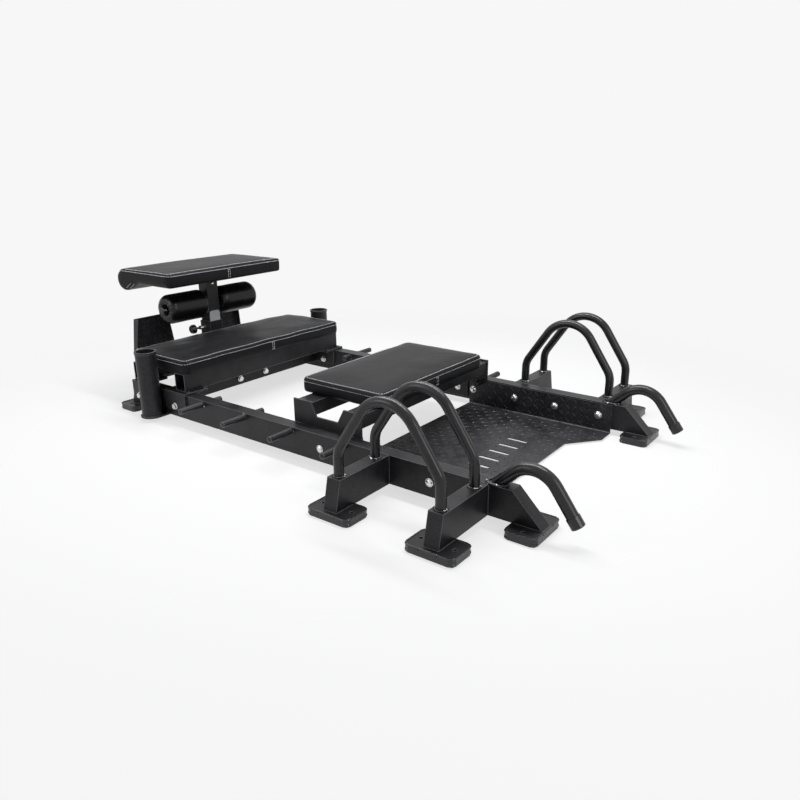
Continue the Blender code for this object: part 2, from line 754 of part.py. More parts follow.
tray = add_part("tread_plate_tray", sheet(tray_section, "YZ", TRAY_REAR_X, TRAY_FRONT_X), "black powder coat")
cut(tray, sheet(notch, "XY", *TRAY_CUT_Z), merge("slots", slots))
for side in SIDES:
    reach = span(side, TRAY_IN - TRAY_T, TRAY_OUT + TRAY_T)
    cut(tray, hole(PEG_R, "Y", *reach, (PEG_X[-1], PEG_Z), 10))
    bolts = [dome_bolt((0, side, 0), (x, 0.0, BOLT_Z), TRAY_IN, RAIL_OUT + GAP) for x in TRAY_BOLT_X]
    join(tray, merge("bolts", bolts))


# Cushions.

def cushion(x, half, low, edge_h, crown):
    """A pad: round corners, sides drawn in below the seam, and a crowned top."""
    y = (-half, half)
    bm = bmesh.new()
    size = Matrix.Diagonal((x[1] - x[0], 2 * half, edge_h, 1.0))
    centre = Matrix.Translation(((x[0] + x[1]) / 2, 0.0, low + edge_h / 2))
    bmesh.ops.create_cube(bm, size=1.0, matrix=centre @ size)
    upright = [e for e in bm.edges if abs(e.verts[0].co.z - e.verts[1].co.z) > edge_h / 2]
    bmesh.ops.bevel(bm, geom=upright, offset=PAD_CORNER_R, segments=4, profile=0.5, affect="EDGES")
    top = low + edge_h
    rim = [e for e in bm.edges if min(v.co.z for v in e.verts) > top - GAP]
    bmesh.ops.bevel(bm, geom=rim, offset=PAD_EDGE_R, segments=3, profile=0.5, affect="EDGES")
    x_cuts = [x[0] + (x[1] - x[0]) * f for f in (0.12, 0.3, 0.5, 0.7, 0.88)]
    y_cuts = [y[0] + 2 * half * f for f in (0.06, 0.16, 0.32, 0.5, 0.68, 0.84, 0.94)]
    z_cuts = [low + edge_h * f for f in (0.25, 0.5)]
    for value, normal in ([(v, (1, 0, 0)) for v in x_cuts] + [(v, (0, 1, 0)) for v in y_cuts]
                          + [(v, (0, 0, 1)) for v in z_cuts]):
        geometry = bm.verts[:] + bm.edges[:] + bm.faces[:]
        bmesh.ops.bisect_plane(bm, geom=geometry, plane_co=Vector(normal) * value, plane_no=normal)
    mid_x, half_x = (x[0] + x[1]) / 2, (x[1] - x[0]) / 2
    for v in bm.verts:
        u, w = (v.co.x - mid_x) / half_x, v.co.y / half
        height = (v.co.z - low) / edge_h
        if height > 0.999:
            v.co.z += crown * (1 - u ** 4) * (1 - w ** 4)
        else:
            pull = PAD_WAIST * sin(pi * min(1.0, max(0.0, height) / 0.8))
            v.co.x -= pull * u ** 3
            v.co.y -= pull * w ** 3
    bmesh.ops.triangulate(bm, faces=bm.faces)
    return mesh_from(bm, "cushion")


def board_box(x, half, low):
    """The board's own box, in the underside of a pad that ends at low."""
    return block(x, (-half, half), (low, low + BOARD_T))


def make_pad(name, mesh, board_x, board_half, low, screws, grip):
    """A pad with its board let in from below, and the board's screws, which clamp a thickness."""
    pad = add_part(name, mesh, "vinyl", 50)
    deep = board_box(board_x, board_half, low)
    recess = block((board_x[0] - GAP, board_x[1] + GAP), (-board_half - GAP, board_half + GAP),
                   (low - BOARD_T, low + BOARD_T + GAP))
    cut(pad, recess)
    board = add_part(name + "_board", deep, "plywood")
    join(board, merge("screws", [button_screw(place, low + SINK, grip + SINK + 2 * GAP) for place in screws]))


def screw_places(beams, y):
    return [(sum(x) / 2, side * y) for x in beams for side in SIDES]


FRONT_PAD_LOW = RAIL_TOP + FRONT_PAD_RISE + GAP
FRONT_BOARD_X = (FRONT_PAD_X[0] + BOARD_IN, FRONT_PAD_X[1] - BOARD_IN)
make_pad("front_pad", cushion(FRONT_PAD_X, FRONT_PAD_HALF, FRONT_PAD_LOW, FRONT_PAD_EDGE_H, PAD_CROWN),
         FRONT_BOARD_X, FRONT_PAD_HALF - BOARD_IN, FRONT_PAD_LOW,
         screw_places([FRONT_BEAM_X], FRONT_SCREW_Y), FRONT_BEAM_H)

# The kneeling pad rests on its two beams, which rest on the saddles.
SADDLE_LOW = RAIL_TOP + GAP
KNEE_BEAM_LOW = SADDLE_LOW + SADDLE_T + GAP
KNEE_BEAM_TOP = KNEE_BEAM_LOW + KNEE_BEAM_H
KNEE_PAD_LOW = KNEE_BEAM_TOP + GAP
SLEEVE_X = (POST_X - SLEEVE_W / 2, POST_X + SLEEVE_W / 2)
KNEE_BEAMS = {
    "front": (KNEE_BEAM_FRONT_X - KNEE_BEAM_W, KNEE_BEAM_FRONT_X),
    "rear": (SLEEVE_X[1] + GAP, SLEEVE_X[1] + GAP + KNEE_BEAM_W),
}
KNEE_BOARD_X = (KNEE_PAD_X[0] + BOARD_IN, KNEE_PAD_X[1] - BOARD_IN)
make_pad("kneeling_pad", cushion(KNEE_PAD_X, KNEE_PAD_HALF, KNEE_PAD_LOW, KNEE_PAD_EDGE_H, PAD_CROWN),
         KNEE_BOARD_X, KNEE_PAD_HALF - BOARD_IN, KNEE_PAD_LOW,
         screw_places(KNEE_BEAMS.values(), KNEE_SCREW_Y), KNEE_BEAM_H)


# Side plates of the front pad: bolted to the rails' inner faces, with two towers for the beams.

def side_plate_outline():
    x = SIDE_PLATE_X
    foot, tab = RAIL_TOP, RAIL_TOP - SIDE_PLATE_TAB_DROP
    top, waist = RAIL_TOP + SIDE_PLATE_TOP, RAIL_TOP + SIDE_PLATE_WAIST
    return [
        (x[0], foot), (SIDE_PLATE_TAB_X[0], foot), (SIDE_PLATE_TAB_X[0], tab),
        (SIDE_PLATE_TAB_X[1], tab), (SIDE_PLATE_TAB_X[1], foot), (x[5], foot),
        (x[5], top), (x[4], top), (x[3], waist), (x[2], waist), (x[1], top), (x[0], top),
    ]


SIDE_PLATE_OUT = RAIL_IN - GAP
SIDE_PLATE_IN = SIDE_PLATE_OUT - SIDE_PLATE_T
for side in SIDES:
    plate = sheet(side_plate_outline(), "XZ", *span(side, SIDE_PLATE_IN, SIDE_PLATE_OUT))
    bolt = dome_bolt((0, side, 0), (SIDE_PLATE_BOLT_X, 0.0, BOLT_Z), SIDE_PLATE_IN, RAIL_OUT + GAP)
    join(add_part("front_pad_side_plate_" + side_name(side), plate, "black powder coat"), bolt)


def make_beam(name, x, half, low, high, screw_y):
    """A box tube across the machine, open at its ends, with holes for the board's screws."""
    wall = PAD_BEAM_WALL
    beam = add_part(name, block(x, (-half, half), (low, high)), "black powder coat")
    cut(beam, block((x[0] + wall, x[1] - wall), (-half - wall, half + wall), (low + wall, high - wall)))
    cut(beam, screw_holes(screw_places([x], screw_y), low - wall, high + wall))


FRONT_BEAM_TOP = RAIL_TOP + FRONT_PAD_RISE
BEAM_HALF = SIDE_PLATE_IN - GAP
make_beam("front_pad_front_beam", FRONT_BEAM_X, BEAM_HALF, FRONT_BEAM_TOP - FRONT_BEAM_H, FRONT_BEAM_TOP,
          FRONT_SCREW_Y)
make_beam("front_pad_rear_beam", REAR_BEAM_X, BEAM_HALF, FRONT_BEAM_TOP - REAR_BEAM_H, FRONT_BEAM_TOP,
          FRONT_SCREW_Y)
for end, x in KNEE_BEAMS.items():
    make_beam("kneeling_pad_" + end + "_beam", x, KNEE_BEAM_HALF, KNEE_BEAM_LOW, KNEE_BEAM_TOP, KNEE_SCREW_Y)


# Saddles over the rails: a top plate with a wing inwards and a cheek down each side of the rail.

SADDLE_OUT = RAIL_OUT + GAP
SADDLE_IN = RAIL_IN - GAP
CHEEK_LOW = RAIL_TOP - SADDLE_DROP


def make_saddle(side, end, x):
    top_z = (SADDLE_LOW, SADDLE_LOW + SADDLE_T)
    top_y = span(side, SADDLE_WING_Y, SADDLE_OUT + SADDLE_T)
    outline = rounded_box((x[0], top_y[0]), (x[1], top_y[1]), 0.004, 2)
    name = end + "_saddle_" + side_name(side)
    saddle = add_part(name, sheet(outline, "XY", *top_z), "black powder coat")
    r = SADDLE_CORNER_R
    inset = SADDLE_T / 2
    cheek = ([(x[1] - inset, SADDLE_LOW + inset)] + [(x[0] + inset, SADDLE_LOW + inset)]
             + arc((x[0] + inset + r, CHEEK_LOW + r), r, 180, 270, 3)
             + arc((x[1] - inset - r, CHEEK_LOW + r), r, 270, 360, 3))
    for y in (span(side, SADDLE_OUT, SADDLE_OUT + SADDLE_T), span(side, SADDLE_IN - SADDLE_T, SADDLE_IN)):
        join(saddle, sheet(cheek, "XZ", *y))
    return saddle


CHEEK_FACES = (SADDLE_IN - SADDLE_T, SADDLE_OUT + SADDLE_T)
for side in SIDES:
    front_saddle = make_saddle(side, "front", FRONT_SADDLE_X)
    through = span(side, CHEEK_FACES[0] - SADDLE_T, CHEEK_FACES[1] + SADDLE_T)
    cut(front_saddle, hole(HEX_BOLT_R, "Y", *through, (SADDLE_BOLT_X[0], BOLT_Z)))
    inner, outer = side * (CHEEK_FACES[0] - GAP), side * (CHEEK_FACES[1] + GAP)
    make_hex_bolt("saddle_bolt_" + side_name(side), "Y", inner, outer, (SADDLE_BOLT_X[0], BOLT_Z))
    for y in SADDLE_SCREW_Y:
        head = rod(SCREW_HEAD_R, "Z", SADDLE_LOW + SINK, SADDLE_LOW + SADDLE_T + SCREW_HEAD_H,
                   (FRONT_SADDLE_X[1] - SADDLE_SCREW_IN, side * y), 8)
        join(front_saddle, head)
    inner, outer = side * (CHEEK_FACES[0] + SINK), side * (CHEEK_FACES[1] - SINK)
    rear_saddle = make_saddle(side, "rear", REAR_SADDLE_X)
    join(rear_saddle, *hex_bolt("Y", inner, outer, (SADDLE_BOLT_X[1], BOLT_Z)))


# Crossbeam between the rails, and the spine that runs from it to the sleeve.

CROSS_Z = (RAIL_TOP - CROSS_TOP_DROP - CROSS_H, RAIL_TOP - CROSS_TOP_DROP)
CROSS_BOLT_Z = RAIL_TOP - CROSS_BOLT_DROP
SPINE_X = (SLEEVE_X[1] + GAP, CROSS_X[0] - GAP)
FLANGE_X = (SPINE_X[1] - SPINE_FLANGE_T, SPINE_X[1])

crossbeam = add_part("rail_crossbeam", block(CROSS_X, (-RAIL_IN + GAP, RAIL_IN - GAP), CROSS_Z),
                     "black powder coat")
wall = TUBE_WALL
cut(crossbeam, block((CROSS_X[0] + wall, CROSS_X[1] - wall), (-RAIL_IN - wall, RAIL_IN + wall),
                     (CROSS_Z[0] + wall, CROSS_Z[1] - wall)))
reach = (FLANGE_X[0] - wall, CROSS_X[1] + wall)


def cross_bolt_holes():
    return merge("holes", [hole(HEX_BOLT_R, "X", *reach, (s * CROSS_BOLT_Y, CROSS_BOLT_Z)) for s in SIDES])


cut(crossbeam, cross_bolt_holes())
spine = add_part("spine_beam", block(SPINE_X, (-SPINE_W / 2, SPINE_W / 2), CROSS_Z), "black powder coat")
join(spine, block(FLANGE_X, (-SPINE_FLANGE_HALF, SPINE_FLANGE_HALF), CROSS_Z))
cut(spine, block((SPINE_X[0] - wall, FLANGE_X[0]), (-SPINE_W / 2 + wall, SPINE_W / 2 - wall),
                 (CROSS_Z[0] + wall, CROSS_Z[1] - wall)), cross_bolt_holes())

for side in SIDES:
    make_hex_bolt("crossbeam_bolt_" + side_name(side), "X", FLANGE_X[0] - GAP, CROSS_X[1] + GAP,
                  (side * CROSS_BOLT_Y, CROSS_BOLT_Z))


# Storage tubes: each on a base plate that reaches under the rail, open at the top, with a rim.

STORE_BASE_Z = (RAIL_BOTTOM - GAP - STORE_BASE_T, RAIL_BOTTOM - GAP)
STORE_Y = STORE_R + max(RAIL_OUT + GAP, KNEE_PAD_HALF + STORE_PAD_CLEAR)

for side in SIDES:
    inner = STORE_R - STORE_WALL
    root = STORE_BASE_Z[1] - STORE_BASE_T / 2
    rim_low = STORE_TOP - STORE_RIM_H
    profile = [(inner, root), (inner, STORE_TOP), (STORE_RIM_R, STORE_TOP), (STORE_RIM_R, rim_low),
               (STORE_R, rim_low), (STORE_R, root)]
    mesh = aim(turned(profile, 24), (0, 0, 1), (STORE_X, side * STORE_Y, 0.0))
    tube = add_part("storage_tube_" + side_name(side), mesh, "black powder coat", 50)
    base = [(STORE_X + STORE_BASE_R, RAIL_Y), (STORE_X - STORE_BASE_R, RAIL_Y)]
    base += arc((STORE_X, STORE_Y), STORE_BASE_R, 180, 0, 12)
    join(tube, sheet([(x, side * y) for x, y in base], "XY", *STORE_BASE_Z))


# Sleeve with the pop pin's hole, and the height post in it.

SLEEVE_IN = SLEEVE_W / 2 - SLEEVE_WALL
POST_HALF = SLEEVE_IN - POST_GAP
POST_TOP = RAIL_TOP + TOP_PAD_RISE - GAP


def square_tube(name, half, wall, low, high):
    x, y = (POST_X - half, POST_X + half), (-half, half)
    part = add_part(name, block(x, y, (low, high)), "black powder coat")
    inner = half - wall
    cut(part, block((POST_X - inner, POST_X + inner), (-inner, inner), (low - wall, high + wall)))
    return part


sleeve = square_tube("post_sleeve", SLEEVE_W / 2, SLEEVE_WALL, SLEEVE_BOTTOM, SLEEVE_TOP)
cut(sleeve, hole(PIN_R, "Y", -SLEEVE_W, 0.0, (POST_X, PIN_Z)))

post = square_tube("height_post", POST_HALF, POST_WALL, POST_BOTTOM, POST_TOP - POST_PLATE_T)
half = POST_PLATE / 2
post_plate = block((POST_X - half, POST_X + half), (-half, half), (POST_TOP - POST_PLATE_T, POST_TOP))
join(post, post_plate)
pin_holes = [hole(PIN_R, "Y", -POST_HALF - wall, 0.0, (POST_X, PIN_Z + i * PIN_HOLE_PITCH))
             for i in range(-PIN_HOLES_BELOW, PIN_HOLES_ABOVE + 1)]
axle_hole = hole(AXLE_R, "Y", -SLEEVE_W, SLEEVE_W, (POST_X, AXLE_Z), 14)
top_screw = [half - inset for inset in TOP_SCREW_IN]
TOP_SCREWS = [(POST_X + sx * top_screw[0], sy * top_screw[1]) for sx in SIDES for sy in SIDES]
cut(post, merge("holes", pin_holes + [axle_hole]),
    screw_holes(TOP_SCREWS, POST_TOP - 2 * POST_PLATE_T, POST_TOP + wall))
join(post, dome_bolt((1, 0, 0), (POST_X, 0.0, POST_BOLT_Z), -POST_HALF, POST_HALF - SINK))


# Axle, rollers and axle caps.

AXLE_END = ROLLER_OUTER_Y + RUN_GAP + AXLE_CAP_GRIP
axle = add_part("roller_axle", rod(AXLE_R, "Y", -AXLE_END, AXLE_END, (0.0, 0.0), 14), "zinc", 50)
axle.location = (POST_X, 0.0, AXLE_Z)

for side in SIDES:
    bore = AXLE_R + RUN_GAP
    inner, outer = ROLLER_INNER_Y, ROLLER_OUTER_Y
    flat_r = ROLLER_R - ROLLER_END_R
    rounding = arc((flat_r, outer - ROLLER_END_R), ROLLER_END_R, 0, 90, 2)
    near = arc((flat_r, inner + ROLLER_END_R), ROLLER_END_R, -90, 0, 2)
    dish_end = outer - ROLLER_DISH
    dish = [(AXLE_CAP_R + 0.008, outer), (AXLE_CAP_R + 0.004, dish_end), (bore, dish_end)]
    profile = [(bore, inner)] + near + rounding + dish
    roller_mesh = turned(profile, 24)
    roller_mesh.transform(Matrix.Rotation(-side * pi / 2, 4, "X"))
    roller = add_part("foam_roller_" + side_name(side), roller_mesh, "vinyl", 50)
    roller.location = (POST_X, 0.0, AXLE_Z)
    cap_bore = AXLE_R + GAP
    face = outer - ROLLER_DISH + RUN_GAP
    end = AXLE_END + GAP
    profile = [(0.0, end), (cap_bore, end), (cap_bore, face), (AXLE_CAP_R, face),
               (AXLE_CAP_R, face + AXLE_CAP_H), (cap_bore + 0.004, end + 0.002),
               (cap_bore, end + 0.004), (0.0, end + 0.004)]
    cap = aim(turned(profile, 16), (0, side, 0), (POST_X, 0.0, AXLE_Z))
    add_part("axle_cap_" + side_name(side), cap, "black plastic", 50)


# Pop pin: barrel on the sleeve, plunger with its knob, and the spring between them.

BARREL_START = SLEEVE_W / 2 + GAP
BARREL_END = BARREL_START + PIN_BARREL_L
CAVITY = (BARREL_START + PIN_CAVITY_END, BARREL_END - PIN_CAVITY_END)
PIN_BORE = PIN_R + HOLE_GAP
PIN_TIP = POST_HALF + GAP
COLLAR = (CAVITY[0] + PIN_TRAVEL + GAP, CAVITY[0] + PIN_TRAVEL + GAP + PIN_COLLAR_T)
PIN_PLACE = (POST_X, 0.0, PIN_Z)
OUTWARD = (0, -1, 0)

barrel_profile = [
    (PIN_BORE, BARREL_START), (PIN_BARREL_R, BARREL_START), (PIN_BARREL_R, BARREL_END),
    (PIN_BORE, BARREL_END), (PIN_BORE, CAVITY[1]), (PIN_CAVITY_R, CAVITY[1]),
    (PIN_CAVITY_R, CAVITY[0]), (PIN_BORE, CAVITY[0]),
]
add_part("pop_pin_barrel", aim(turned(barrel_profile, 12), OUTWARD, PIN_PLACE), "zinc", 50)

knob_start = BARREL_END + PIN_NECK
knob_end = knob_start + KNOB_L
knob_shape = [(0.62, 0.0), (1.0, 0.2), (1.0, 0.55), (0.85, 0.8), (0.5, 0.95)]
knob = [(KNOB_R * r, knob_start + KNOB_L * h) for r, h in knob_shape]
plunger_profile = [
    (0.0, PIN_TIP), (PIN_R * 0.8, PIN_TIP), (PIN_R, PIN_TIP + 0.001), (PIN_R, COLLAR[0]),
    (PIN_COLLAR_R, COLLAR[0]), (PIN_COLLAR_R, COLLAR[1]), (PIN_R, COLLAR[1]), (PIN_R, knob_start),
] + knob + [(0.0, knob_end)]
plunger_mesh = turned(plunger_profile, 16)
plunger = add_part("pop_pin_knob", aim(plunger_mesh, OUTWARD, (0.0, 0.0, 0.0)), "black plastic", 50)
plunger.location = PIN_PLACE

coil_r = (PIN_R + PIN_CAVITY_R) / 2
coil_y = (COLLAR[1] + SPRING_WIRE_R + GAP, CAVITY[1] - SPRING_WIRE_R - GAP)
spring = coil((POST_X, PIN_Z), coil_r, -coil_y[0], -coil_y[1], SPRING_TURNS, SPRING_WIRE_R)
add_part("pop_pin_spring", spring, "zinc")


# Top pad: a crowned slab with a roll along its rear edge, seen from the side as one outline.

TOP_PAD_LOW = RAIL_TOP + TOP_PAD_RISE
TOP_PAD_TOP = TOP_PAD_LOW + TOP_PAD_EDGE_H
ROLL_CENTRE = (TOP_PAD_X[0], TOP_PAD_TOP - ROLL_R)


def top_pad_outline():
    front = TOP_PAD_X[1]
    edge = PAD_EDGE_R
    under_angle = -60.0
    roll = arc(ROLL_CENTRE, ROLL_R, 90, 360 + under_angle, 14)
    blend_x = ROLL_CENTRE[0] + 2.2 * ROLL_R
    points = [(blend_x, TOP_PAD_LOW), (front - edge / 2, TOP_PAD_LOW), (front, TOP_PAD_LOW + edge / 2)]
    points += arc((front - edge, TOP_PAD_TOP - edge), edge, 0, 90, 3)
    crown_x = [front + (TOP_PAD_X[0] - front) * f for f in (0.15, 0.35, 0.55, 0.75)]
    points += [(x, TOP_PAD_TOP) for x in crown_x]
    return points + roll


def top_pad_mesh():
    bm = bmesh.new()
    slab = sheet(top_pad_outline(), "XZ", -TOP_PAD_HALF, TOP_PAD_HALF)
    bm.from_mesh(slab)
    bpy.data.meshes.remove(slab)
    rims = [e for e in bm.edges if abs(e.verts[0].co.y + e.verts[1].co.y) > 2 * (TOP_PAD_HALF - GAP)]
    bmesh.ops.bevel(bm, geom=rims, offset=PAD_EDGE_R * 0.7, segments=2, profile=0.5, affect="EDGES")
    for f in (-0.8, -0.4, 0.0, 0.4, 0.8):
        geometry = bm.verts[:] + bm.edges[:] + bm.faces[:]
        bmesh.ops.bisect_plane(bm, geom=geometry, plane_co=(0, f * TOP_PAD_HALF, 0), plane_no=(0, 1, 0))
    middle, half_x = sum(TOP_PAD_X) / 2, (TOP_PAD_X[1] - TOP_PAD_X[0]) / 2
    for v in bm.verts:
        u, w = (v.co.x - middle) / half_x, v.co.y / TOP_PAD_HALF
        if v.co.z > TOP_PAD_TOP - GAP and abs(u) < 1:
            v.co.z += PAD_CROWN * 0.6 * (1 - u ** 4) * (1 - w ** 4)
    bmesh.ops.triangulate(bm, faces=bm.faces)
    bmesh.ops.recalc_face_normals(bm, faces=bm.faces)
    return mesh_from(bm, "top_pad")


make_pad("top_pad", top_pad_mesh(), TOP_BOARD_X, TOP_PAD_HALF - BOARD_IN, TOP_PAD_LOW,
         TOP_SCREWS, POST_PLATE_T)


# Toe plates: tread plate with a lip along the outer edge, on a beam behind the sleeve.

TOE_FACE = TOE_X + TOE_T
TOE_Z = (RAIL_TOP - TOE_BOTTOM_DROP, RAIL_TOP + TOE_KNEE_RISE, RAIL_TOP + TOE_TOP_RISE)


def make_toe_plate(side):
    outline = [(TOE_INNER_Y[0], TOE_Z[0]), (TOE_OUTER_Y[0], TOE_Z[0]), (TOE_OUTER_Y[1], TOE_Z[1]),
               (TOE_OUTER_Y[2], TOE_Z[2]), (TOE_INNER_Y[1], TOE_Z[2]), (TOE_INNER_Y[0], TOE_Z[1])]
    outline = [(side * y, z) for y, z in outline]
    plate = sheet(outline, "YZ", TOE_X, TOE_FACE)
    toe = add_part("toe_plate_" + side_name(side), plate, "black powder coat")
    run, rise = TOE_OUTER_Y[2] - TOE_OUTER_Y[1], TOE_Z[2] - TOE_Z[1]
    lean = atan2(run, rise)
    length = hypot(run, rise)
    lip = [(TOE_X + TOE_T / 2, 0.0), (TOE_FACE + TOE_LIP[0], 0.0), (TOE_X + TOE_LIP[1], length),
           (TOE_X + TOE_T / 2, length)]
    mesh = sheet(lip, "XZ", *span(side, 0.0, -TOE_T))
    mesh.transform(Matrix.Translation((0.0, side * TOE_OUTER_Y[1], TOE_Z[1]))
                   @ Matrix.Rotation(-side * lean, 4, "X"))
    join(toe, mesh)


for side in SIDES:
    make_toe_plate(side)

TOE_BEAM_Z = (RAIL_TOP - TOE_BEAM_TOP_DROP - TOE_BEAM_W, RAIL_TOP - TOE_BEAM_TOP_DROP)
TOE_BEAM_X = (TOE_X - GAP - TOE_BEAM_W, TOE_X - GAP)
half = TOE_BEAM_W / 2
toe_beam = add_part("toe_plate_beam", block(TOE_BEAM_X, (-TOE_BEAM_HALF, TOE_BEAM_HALF), TOE_BEAM_Z),
                    "black powder coat")
arm_x = (TOE_BEAM_X[1] - half, SLEEVE_X[0] - GAP)
join(toe_beam, block(arm_x, (-half, half), TOE_BEAM_Z))
bore = half - wall
bore_z = (TOE_BEAM_Z[0] + wall, TOE_BEAM_Z[1] - wall)
past_end = TOE_BEAM_HALF + wall
cut(toe_beam,
    block((TOE_BEAM_X[0] + wall, TOE_BEAM_X[1] - wall), (-past_end, past_end), bore_z),
    block((TOE_BEAM_X[1] - half, arm_x[1] + wall), (-bore, bore), bore_z))


# Move the machine so that the origin is on the floor, midway along and across it.

front_x = max(v.co.x for v in bpy.data.objects["handle_cap_left"].data.vertices)
rear_x = min(v.co.x for v in bpy.data.objects["top_pad"].data.vertices)
middle_x = (front_x + rear_x) / 2
for obj in list(parts.objects) + list(cutters.objects):
    obj.location.x -= middle_x
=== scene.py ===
# %% [markdown]
# This scene dresses a low glute machine: two steel side rails with outriggers and grip hoops, a tread
# plate tray, two fixed pads, and a post with foam rollers and a third pad. The solid model holds every
# size, so it is loaded first. Each later cell then gives one family of pieces its real surface.
# Lengths are in metres, apart from names that end in mm.

# %% Load the solid model
import json
from math import cos, hypot, pi, radians, sin, sqrt, tan

import bmesh
import bpy
from mathutils import Matrix, Vector, noise


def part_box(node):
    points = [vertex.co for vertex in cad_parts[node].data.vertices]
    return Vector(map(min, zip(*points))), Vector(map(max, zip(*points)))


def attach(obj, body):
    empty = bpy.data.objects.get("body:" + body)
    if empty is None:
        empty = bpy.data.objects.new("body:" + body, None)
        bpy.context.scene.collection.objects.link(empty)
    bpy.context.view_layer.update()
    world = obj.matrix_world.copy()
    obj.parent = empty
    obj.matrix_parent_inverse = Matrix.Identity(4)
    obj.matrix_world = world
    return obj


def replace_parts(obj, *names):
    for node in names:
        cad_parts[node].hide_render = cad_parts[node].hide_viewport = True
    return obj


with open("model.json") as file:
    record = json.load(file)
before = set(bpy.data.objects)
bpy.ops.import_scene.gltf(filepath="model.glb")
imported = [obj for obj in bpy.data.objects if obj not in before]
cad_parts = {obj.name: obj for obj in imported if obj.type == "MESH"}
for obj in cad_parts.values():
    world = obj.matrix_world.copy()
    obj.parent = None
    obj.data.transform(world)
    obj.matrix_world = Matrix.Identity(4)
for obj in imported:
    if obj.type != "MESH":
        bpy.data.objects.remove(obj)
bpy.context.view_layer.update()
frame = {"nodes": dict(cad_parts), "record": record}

nodes = frame["nodes"]

# %% [markdown]
# Welds, bolt heads and tread marks sit on the solid pieces that carry them. Their places are read from
# the boxes of those pieces, because a typed number would be left behind when the solid model changes.

# %% Places read from the solid model
SIDES = {"left": 1, "right": -1}
RAIL_H, RAIL_HALF = 0.100, 0.025
TRAY_SHEET = 0.004


def middle(node):
    low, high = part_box(node)
    return (low + high) / 2


RAIL_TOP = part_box("outrigger_rear_left")[1].z
RAIL_LOW = RAIL_TOP - RAIL_H
RAIL_Y = middle("end_handle_left").y
OUTER_FACE, INNER_FACE = RAIL_Y + RAIL_HALF, RAIL_Y - RAIL_HALF
REAR_X, FRONT_X = middle("outrigger_rear_left").x, middle("outrigger_front_left").x
POST_X = middle("post_sleeve").x
TRAY_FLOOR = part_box("tread_plate_tray")[0].z + TRAY_SHEET
print("rail top %.4f, post x %.4f, outriggers x %.4f and %.4f" % (RAIL_TOP, POST_X, REAR_X, FRONT_X))

# %% [markdown]
# The camera repeats the photograph's view. Its place and lens come from a fit of the machine's straight
# edges to the photograph, so a point of the model lands on the pixel where the photograph has it. A
# camera placed by eye would give a fair view too, but no way to compare the two shapes.

# %% Camera
PIXELS, FOCAL_PIXELS, SENSOR_MM = 800.0, 712.59, 36.0
YAW, PITCH, ROLL = radians(37.097), radians(18.655), radians(0.538)
EYE = Vector((REAR_X + 1.3104, -2.1052, RAIL_TOP + 0.8871))


def new_object(name, data):
    obj = bpy.data.objects.new(name, data)
    bpy.context.scene.collection.objects.link(obj)
    return obj


forward = Vector((-sin(YAW) * cos(PITCH), cos(YAW) * cos(PITCH), -sin(PITCH)))
level = Vector((cos(YAW), sin(YAW), 0.0))
down = forward.cross(level)
right = level * cos(ROLL) + down * sin(ROLL)
up = level * sin(ROLL) - down * cos(ROLL)
lens = bpy.data.cameras.new("photo_camera")
lens.sensor_width = SENSOR_MM
lens.lens = SENSOR_MM * FOCAL_PIXELS / PIXELS
camera = new_object("photo_camera", lens)
camera.matrix_world = Matrix.Translation(EYE) @ Matrix((right, up, -forward)).transposed().to_4x4()
bpy.context.scene.camera = camera
print("lens %.2f mm" % lens.lens)

# %% [markdown]
# Every finish is made of shader nodes. Colours are written as sRGB hex, the way that they are picked off
# a screen, and one function turns them to the linear values that Blender works in. Another adds a node
# with its settings and links, so that a finish reads as a short recipe.

# %% Colour and node helpers
# The Mix node has sockets for every kind of value. These are the numbers of the ones for colour.
FACTOR, UNDER, OVER, MIXED = 0, 6, 7, 2


def linear(code):
    values = [int(code[i:i + 2], 16) / 255 for i in (1, 3, 5)]
    return tuple(v / 12.92 if v <= 0.04045 else ((v + 0.055) / 1.055) ** 2.4 for v in values) + (1.0,)


def every(mm):
    """The scale of a pattern that repeats about every so many millimetres."""
    return 1000.0 / mm


def set_inputs(tree, node, values):
    """Give inputs, by name or number, a value, another node's socket or another node's first output."""
    for key, value in values.items():
        if isinstance(value, bpy.types.Node):
            value = value.outputs[0]
        if isinstance(value, bpy.types.NodeSocket):
            tree.links.new(value, node.inputs[key])
        else:
            node.inputs[key].default_value = value


def add(tree, kind, inputs=None, **settings):
    node = tree.nodes.new(kind)
    for key, value in settings.items():
        setattr(node, key, value)
    set_inputs(tree, node, inputs or {})
    return node


def parts_of(material):
    """A material's tree, its Principled shader, and the object coordinates for its patterns."""
    tree = material.node_tree
    place = tree.nodes.get("Texture Coordinate") or add(tree, "ShaderNodeTexCoord")
    return tree, tree.nodes["Principled BSDF"], place.outputs["Object"]


def new_material(name):
    material = bpy.data.materials.new(name)
    material.use_nodes = True
    return material


print("black:", [round(c, 4) for c in linear("#1B1B1D")])
